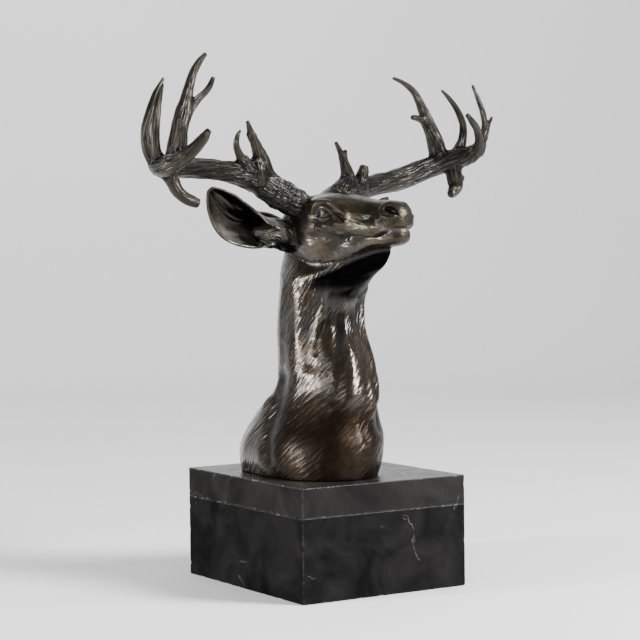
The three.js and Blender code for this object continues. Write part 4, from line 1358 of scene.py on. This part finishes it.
# %% Colours of the patina
hide = mixed(tree, mapped(tree, cloudy, 0.42, 0.62), "#1f1b17", "#322616")
head_hide = mixed(tree, mapped(tree, cloudy, 0.4, 0.62), "#211d13", "#2f2818")
antler_hide = mixed(tree, mapped(tree, cloudy, 0.4, 0.65), "#161513", "#24211d")
in_groove = maths(tree, "SUBTRACT", kept["antler"], groove_ridge)
for share, colour in (
    (mapped(tree, patchy, 0.55, 0.75, 0.0, 0.4), "#3b2a17"),  # warmer patches on the neck
    (kept["head"], head_hide),
    (kept["antler"], antler_hide),
    (mapped(tree, kept["hollow"], 0.52, 0.95, 0.0, 0.85), "#0c0b09"),  # patina left in hollows
    (mapped(tree, kept["hollow"], 0.44, 0.12, 0.0, 0.5), "#474037"),  # bronze rubbed bright on ridges
    (maths(tree, "MULTIPLY", in_groove, 0.7), "#0b0a09"),
    # painted shade in occluded places
    (mapped(tree, kept["occlusion_shade"], 0.1, 0.9, 0.0, 0.9), "#080706"),
    # painted shade on the foot
    (maths(tree, "MULTIPLY", kept["foot"], 0.85), "#160e08"),
    # painted shade, nearly black, under the jaw and on what faces down
    (kept["underside"], "#040303"),
    (mapped(tree, kept["nose"], 0.0, 1.0, 0.0, 0.4), "#17150b"),
    (maths(tree, "MULTIPLY", kept["lit_ear_floor"], 0.8), "#77736c"),  # painted light on the floor of an ear
    # painted highlight at the mouth
    (kept["mouth_glint"], "#7d7476"),
):
    hide = mixed(tree, share, hide, colour)
print("with its colours:", len(tree.nodes), "nodes")

# %% Wax, gloss and relief
ROUGHER = {"underside": 0.25, "foot": 0.16, "antler": 0.14, "nose": 0.14, "head": 0.06}
UNWAXED = {"underside": 1.0, "foot": 0.85, "antler": 0.6, "nose": 0.7, "head": 0.6}
DULL = {"underside": 1.0, "foot": 0.85, "antler": 0.7, "nose": 0.6}


def weighted(places):
    """The kept value of each named place times its weight."""
    return [maths(tree, "MULTIPLY", kept[name], weight) for name, weight in places.items()]


gloss = maths(
    tree,
    "ADD",
    mapped(tree, kept["hollow"], 0.3, 0.8, 0.26, 0.46),
    mapped(tree, patchy, 0.4, 0.7, -0.05, 0.08),
    mapped(tree, kept["occlusion_shade"], 0.2, 0.9, 0.0, 0.25),
    *weighted(ROUGHER),
)
waxed = maths(tree, "MULTIPLY", maths(tree, "SUBTRACT", 1.0, maths(tree, "MAXIMUM", *weighted(UNWAXED))), 0.5)
dull = maths(tree, "MAXIMUM", *weighted(DULL))
hair_relief = maths(tree, "MULTIPLY", hair, mapped(tree, kept["head"], 0.0, 1.0, 1.5, 0.9))
relief = maths(tree, "ADD", hair_relief, maths(tree, "MULTIPLY", grain, 0.15), groove_ridge)
marks = add_node(tree, "ShaderNodeBump", Height=relief, Strength=1.0, Distance=RELIEF_DEPTH * unit)
metal = add_node(
    tree,
    "ShaderNodeBsdfPrincipled",
    Base_Color=hide,
    Metallic=0.8,
    Roughness=gloss,
    Specular_IOR_Level=mapped(tree, dull, 0.0, 1.0, 0.5, 0.02),
    Coat_Weight=waxed,
    Coat_Roughness=0.18,
    Normal=marks.outputs[0],
    Coat_Normal=marks.outputs[0],
)
tree.links.new(metal.outputs[0], output.inputs[0])
casting.data.materials.append(bronze)
print("bronze nodes:", len(tree.nodes))

# %% [markdown]
# ## Black marble
# Honed black marble: charcoal with smoky clouds and thin broken white veins, and the upper stone is the
# paler of the two. Its worn arrises and chips show the pale crushed stone, and only its top is polished
# enough to mirror a little. Veins are the places where a stretched noise crosses its middle value, broken up
# by a second noise, which lets more of them through near a few places.

# %% The marble material
VEINED = [
    # where veins gather, and how far around, in metres
    ((0.024, -0.1025, 0.045), 0.036),
    ((-0.058, -0.1025, 0.066), 0.022),
    ((-0.085, 0.085, 0.085), 0.026),
]
VEIN_WIDTH = 0.009  # how far off its middle value the noise still makes a vein
marble, tree, output = start_material("honed black marble")
object_place = add_node(tree, "ShaderNodeTexCoord").outputs["Object"]
stretch = {"Rotation": (0.5, 0.35, 0.8), "Scale": (1.0, 0.6, 0.8)}
vein_space = add_node(tree, "ShaderNodeMapping", Vector=object_place, **stretch).outputs[0]
smoke = noise(tree, object_place, 22.0, 6.0, 0.62, 0.8)
vein_noise = noise(tree, vein_space, 17.0, 5.0, 0.55, 0.6)
break_noise = noise(tree, object_place, 30.0, 3.0, 0.6)
speckle = noise(tree, object_place, 260.0, 3.0, 0.7)
scuffs = noise(tree, object_place, 60.0, 5.0, 0.7)
for place, reach in VEINED:
    far = add_node(tree, "ShaderNodeVectorMath", {"operation": "DISTANCE"}, i0=object_place, i1=place)
    nearness = mapped(tree, far.outputs["Value"], reach * 0.4, reach, 0.17, 0.0)
    break_noise = maths(tree, "ADD", break_noise, nearness)
off_middle = maths(tree, "ABSOLUTE", maths(tree, "SUBTRACT", vein_noise, 0.5), 0.0)
vein = maths(
    tree,
    "MULTIPLY",
    mapped(tree, off_middle, 0.0, VEIN_WIDTH, 1.0, 0.0),
    mapped(tree, break_noise, 0.6, 0.74),
    mapped(tree, speckle, 0.35, 0.6, 0.25, 1.0),
)
wear = maths(
    tree,
    "MULTIPLY",
    mapped(tree, kept_value(tree, "off_edge"), 0.2, 1.3, 1.0, 0.0),
    mapped(tree, speckle, 0.42, 0.58),
    mapped(tree, kept_value(tree, "chip"), 0.0, 0.5, 0.12, 0.9),
)
smoke_share = mapped(tree, smoke, 0.35, 0.7)
block_colour = mixed(tree, smoke_share, "#101010", "#232222")
slab_colour = mixed(tree, smoke_share, "#1b1a1a", "#2b2a29")
stone_colour = mixed(tree, kept_value(tree, "pale"), block_colour, slab_colour)
stone_colour = mixed(tree, vein, stone_colour, "#73716e")
stone_colour = mixed(tree, wear, stone_colour, "#7c7a76")
honing = mapped(tree, scuffs, 0.35, 0.7, 0.2, 0.34)
pits = add_node(tree, "ShaderNodeBump", Height=speckle, Strength=0.08, Distance=0.0003)
polished = add_node(
    tree,
    "ShaderNodeBsdfPrincipled",
    Base_Color=stone_colour,
    Roughness=maths(tree, "ADD", honing, maths(tree, "MULTIPLY", wear, 0.4)),
    IOR=1.5,
    Specular_IOR_Level=mapped(tree, kept_value(tree, "top"), 0.0, 1.0, 0.0, 0.09),
    Normal=pits.outputs[0],
)
tree.links.new(polished.outputs[0], output.inputs[0])
for piece in (upper_stone, lower_stone):
    piece.data.materials.append(marble)
print("marble nodes:", len(tree.nodes))

# %% [markdown]
# ## The camera
# The photograph was taken from the stag's right front, a little above the antlers' roots, with a long lens.
# A camera looks along its own -Z, so its three columns are right, up and back.

# %% Camera
CAMERA_AZIMUTH = np.radians(-31.769)
CAMERA_ELEVATION = np.radians(2.352)
CAMERA_DISTANCE = 1829.839 * unit
CAMERA_ROLL = np.radians(-0.748)
AIM_SIDEWAYS, AIM_HEIGHT = -1.241 * unit, 238.599 * unit
IMAGE_SIZE = 640
FOCAL_PIXELS = 2000
flat_right = np.array([np.cos(CAMERA_AZIMUTH), np.sin(CAMERA_AZIMUTH), 0])
back = np.array(
    [
        np.sin(CAMERA_AZIMUTH) * np.cos(CAMERA_ELEVATION),
        -np.cos(CAMERA_AZIMUTH) * np.cos(CAMERA_ELEVATION),
        np.sin(CAMERA_ELEVATION),
    ]
)
flat_up = np.cross(back, flat_right)
right = np.cos(CAMERA_ROLL) * flat_right + np.sin(CAMERA_ROLL) * flat_up
up = np.cross(back, right)
eye_place = flat_right * AIM_SIDEWAYS + (0, 0, AIM_HEIGHT) + back * CAMERA_DISTANCE
camera_data = bpy.data.cameras.new("camera")
camera_data.sensor_width = 36
camera_data.lens = FOCAL_PIXELS / IMAGE_SIZE * camera_data.sensor_width
camera_data.clip_end = 50
camera = placed("camera", camera_data)
camera.matrix_world = Matrix([*([right[k], up[k], back[k], eye_place[k]] for k in range(3)), [0, 0, 0, 1]])
bpy.context.scene.camera = camera
print("camera at", eye_place.round(3), "with a lens of", camera_data.lens, "mm")

# %% [markdown]
# ## Floor and light
# A sheet of pale paper lies under the plinth and curves up behind it, so no edge shows. A big weak light
# hangs over the stag, with a small one high on the left. The strong one on the right draws the glints down
# the throat, a low narrow one on the left those on the neck's side, and one lights only the wall. Pale
# surroundings fill the rest.


# %% Studio
def sweep_surface(name, half_width, near, far, bend, height):
    """A floor that curves up into a wall: a line along the floor, a quarter circle and a line up, all moved
    sideways. The whole sheet is turned so that the wall stands square behind the stag for the camera."""
    turn = np.linspace(0, np.pi / 2, 24)
    depth = np.concatenate([[-near], far + bend * np.sin(turn), [far + bend]])
    rise = np.concatenate([[0], bend * (1 - np.cos(turn)), [height]])
    across = np.array([-half_width, half_width])
    away = -back[:2] / np.linalg.norm(back[:2])
    place = stacked(
        across[None, :] * flat_right[0] + depth[:, None] * away[0],
        across[None, :] * flat_right[1] + depth[:, None] * away[1],
        rise[:, None],
    )
    index = np.arange(place.shape[0] * 2).reshape(-1, 2)
    faces = np.stack([index[:-1, 0], index[:-1, 1], index[1:, 1], index[1:, 0]], -1)
    sheet = placed(name, mesh_of(name, place.reshape(-1, 3), faces))
    return sheet


floor = sweep_surface("floor", half_width=7.0, near=5.0, far=2.2, bend=1.2, height=6.0)
paper, tree, output = start_material("studio floor")
matt = add_node(tree, "ShaderNodeBsdfPrincipled", Base_Color=linear("#efefef"), Roughness=0.9)
tree.links.new(matt.outputs[0], output.inputs[0])
floor.data.materials.append(paper)


def soft_light(name, place, aim, width, height, power):
    """A rectangular light at a place, turned to face its aim."""
    data = bpy.data.lights.new(name, "AREA")
    data.shape = "RECTANGLE"
    data.size, data.size_y, data.energy = width, height, power
    light = placed(name, data)
    light.location = place
    light.rotation_euler = (Vector(aim) - Vector(place)).to_track_quat("-Z", "Y").to_euler()


CENTRE = (0, 0, 0.28)
WALL = (0.6, 3.2, 2.0)
soft_light("overhead", (-0.3, -0.2, 2.6), CENTRE, 2.4, 2.4, 12)
soft_light("high left", (-1.95, -0.75, 0.95), CENTRE, 0.6, 0.6, 9)
soft_light("throat strip", (1.03, -1.32, 1.2), CENTRE, 0.6, 0.9, 120)
soft_light("neck strip", (-1.75, 0.25, 0.62), CENTRE, 0.36, 0.55, 46)
soft_light("wall wash", (-0.6, 1.3, 2.6), WALL, 2.5, 1.0, 84)
world = bpy.data.worlds.new("studio")
world.use_nodes = True
surroundings = world.node_tree.nodes["Background"]
feed(world.node_tree, surroundings.inputs["Color"], "#c8c8c8")
feed(world.node_tree, surroundings.inputs["Strength"], 0.3)
bpy.context.scene.world = world
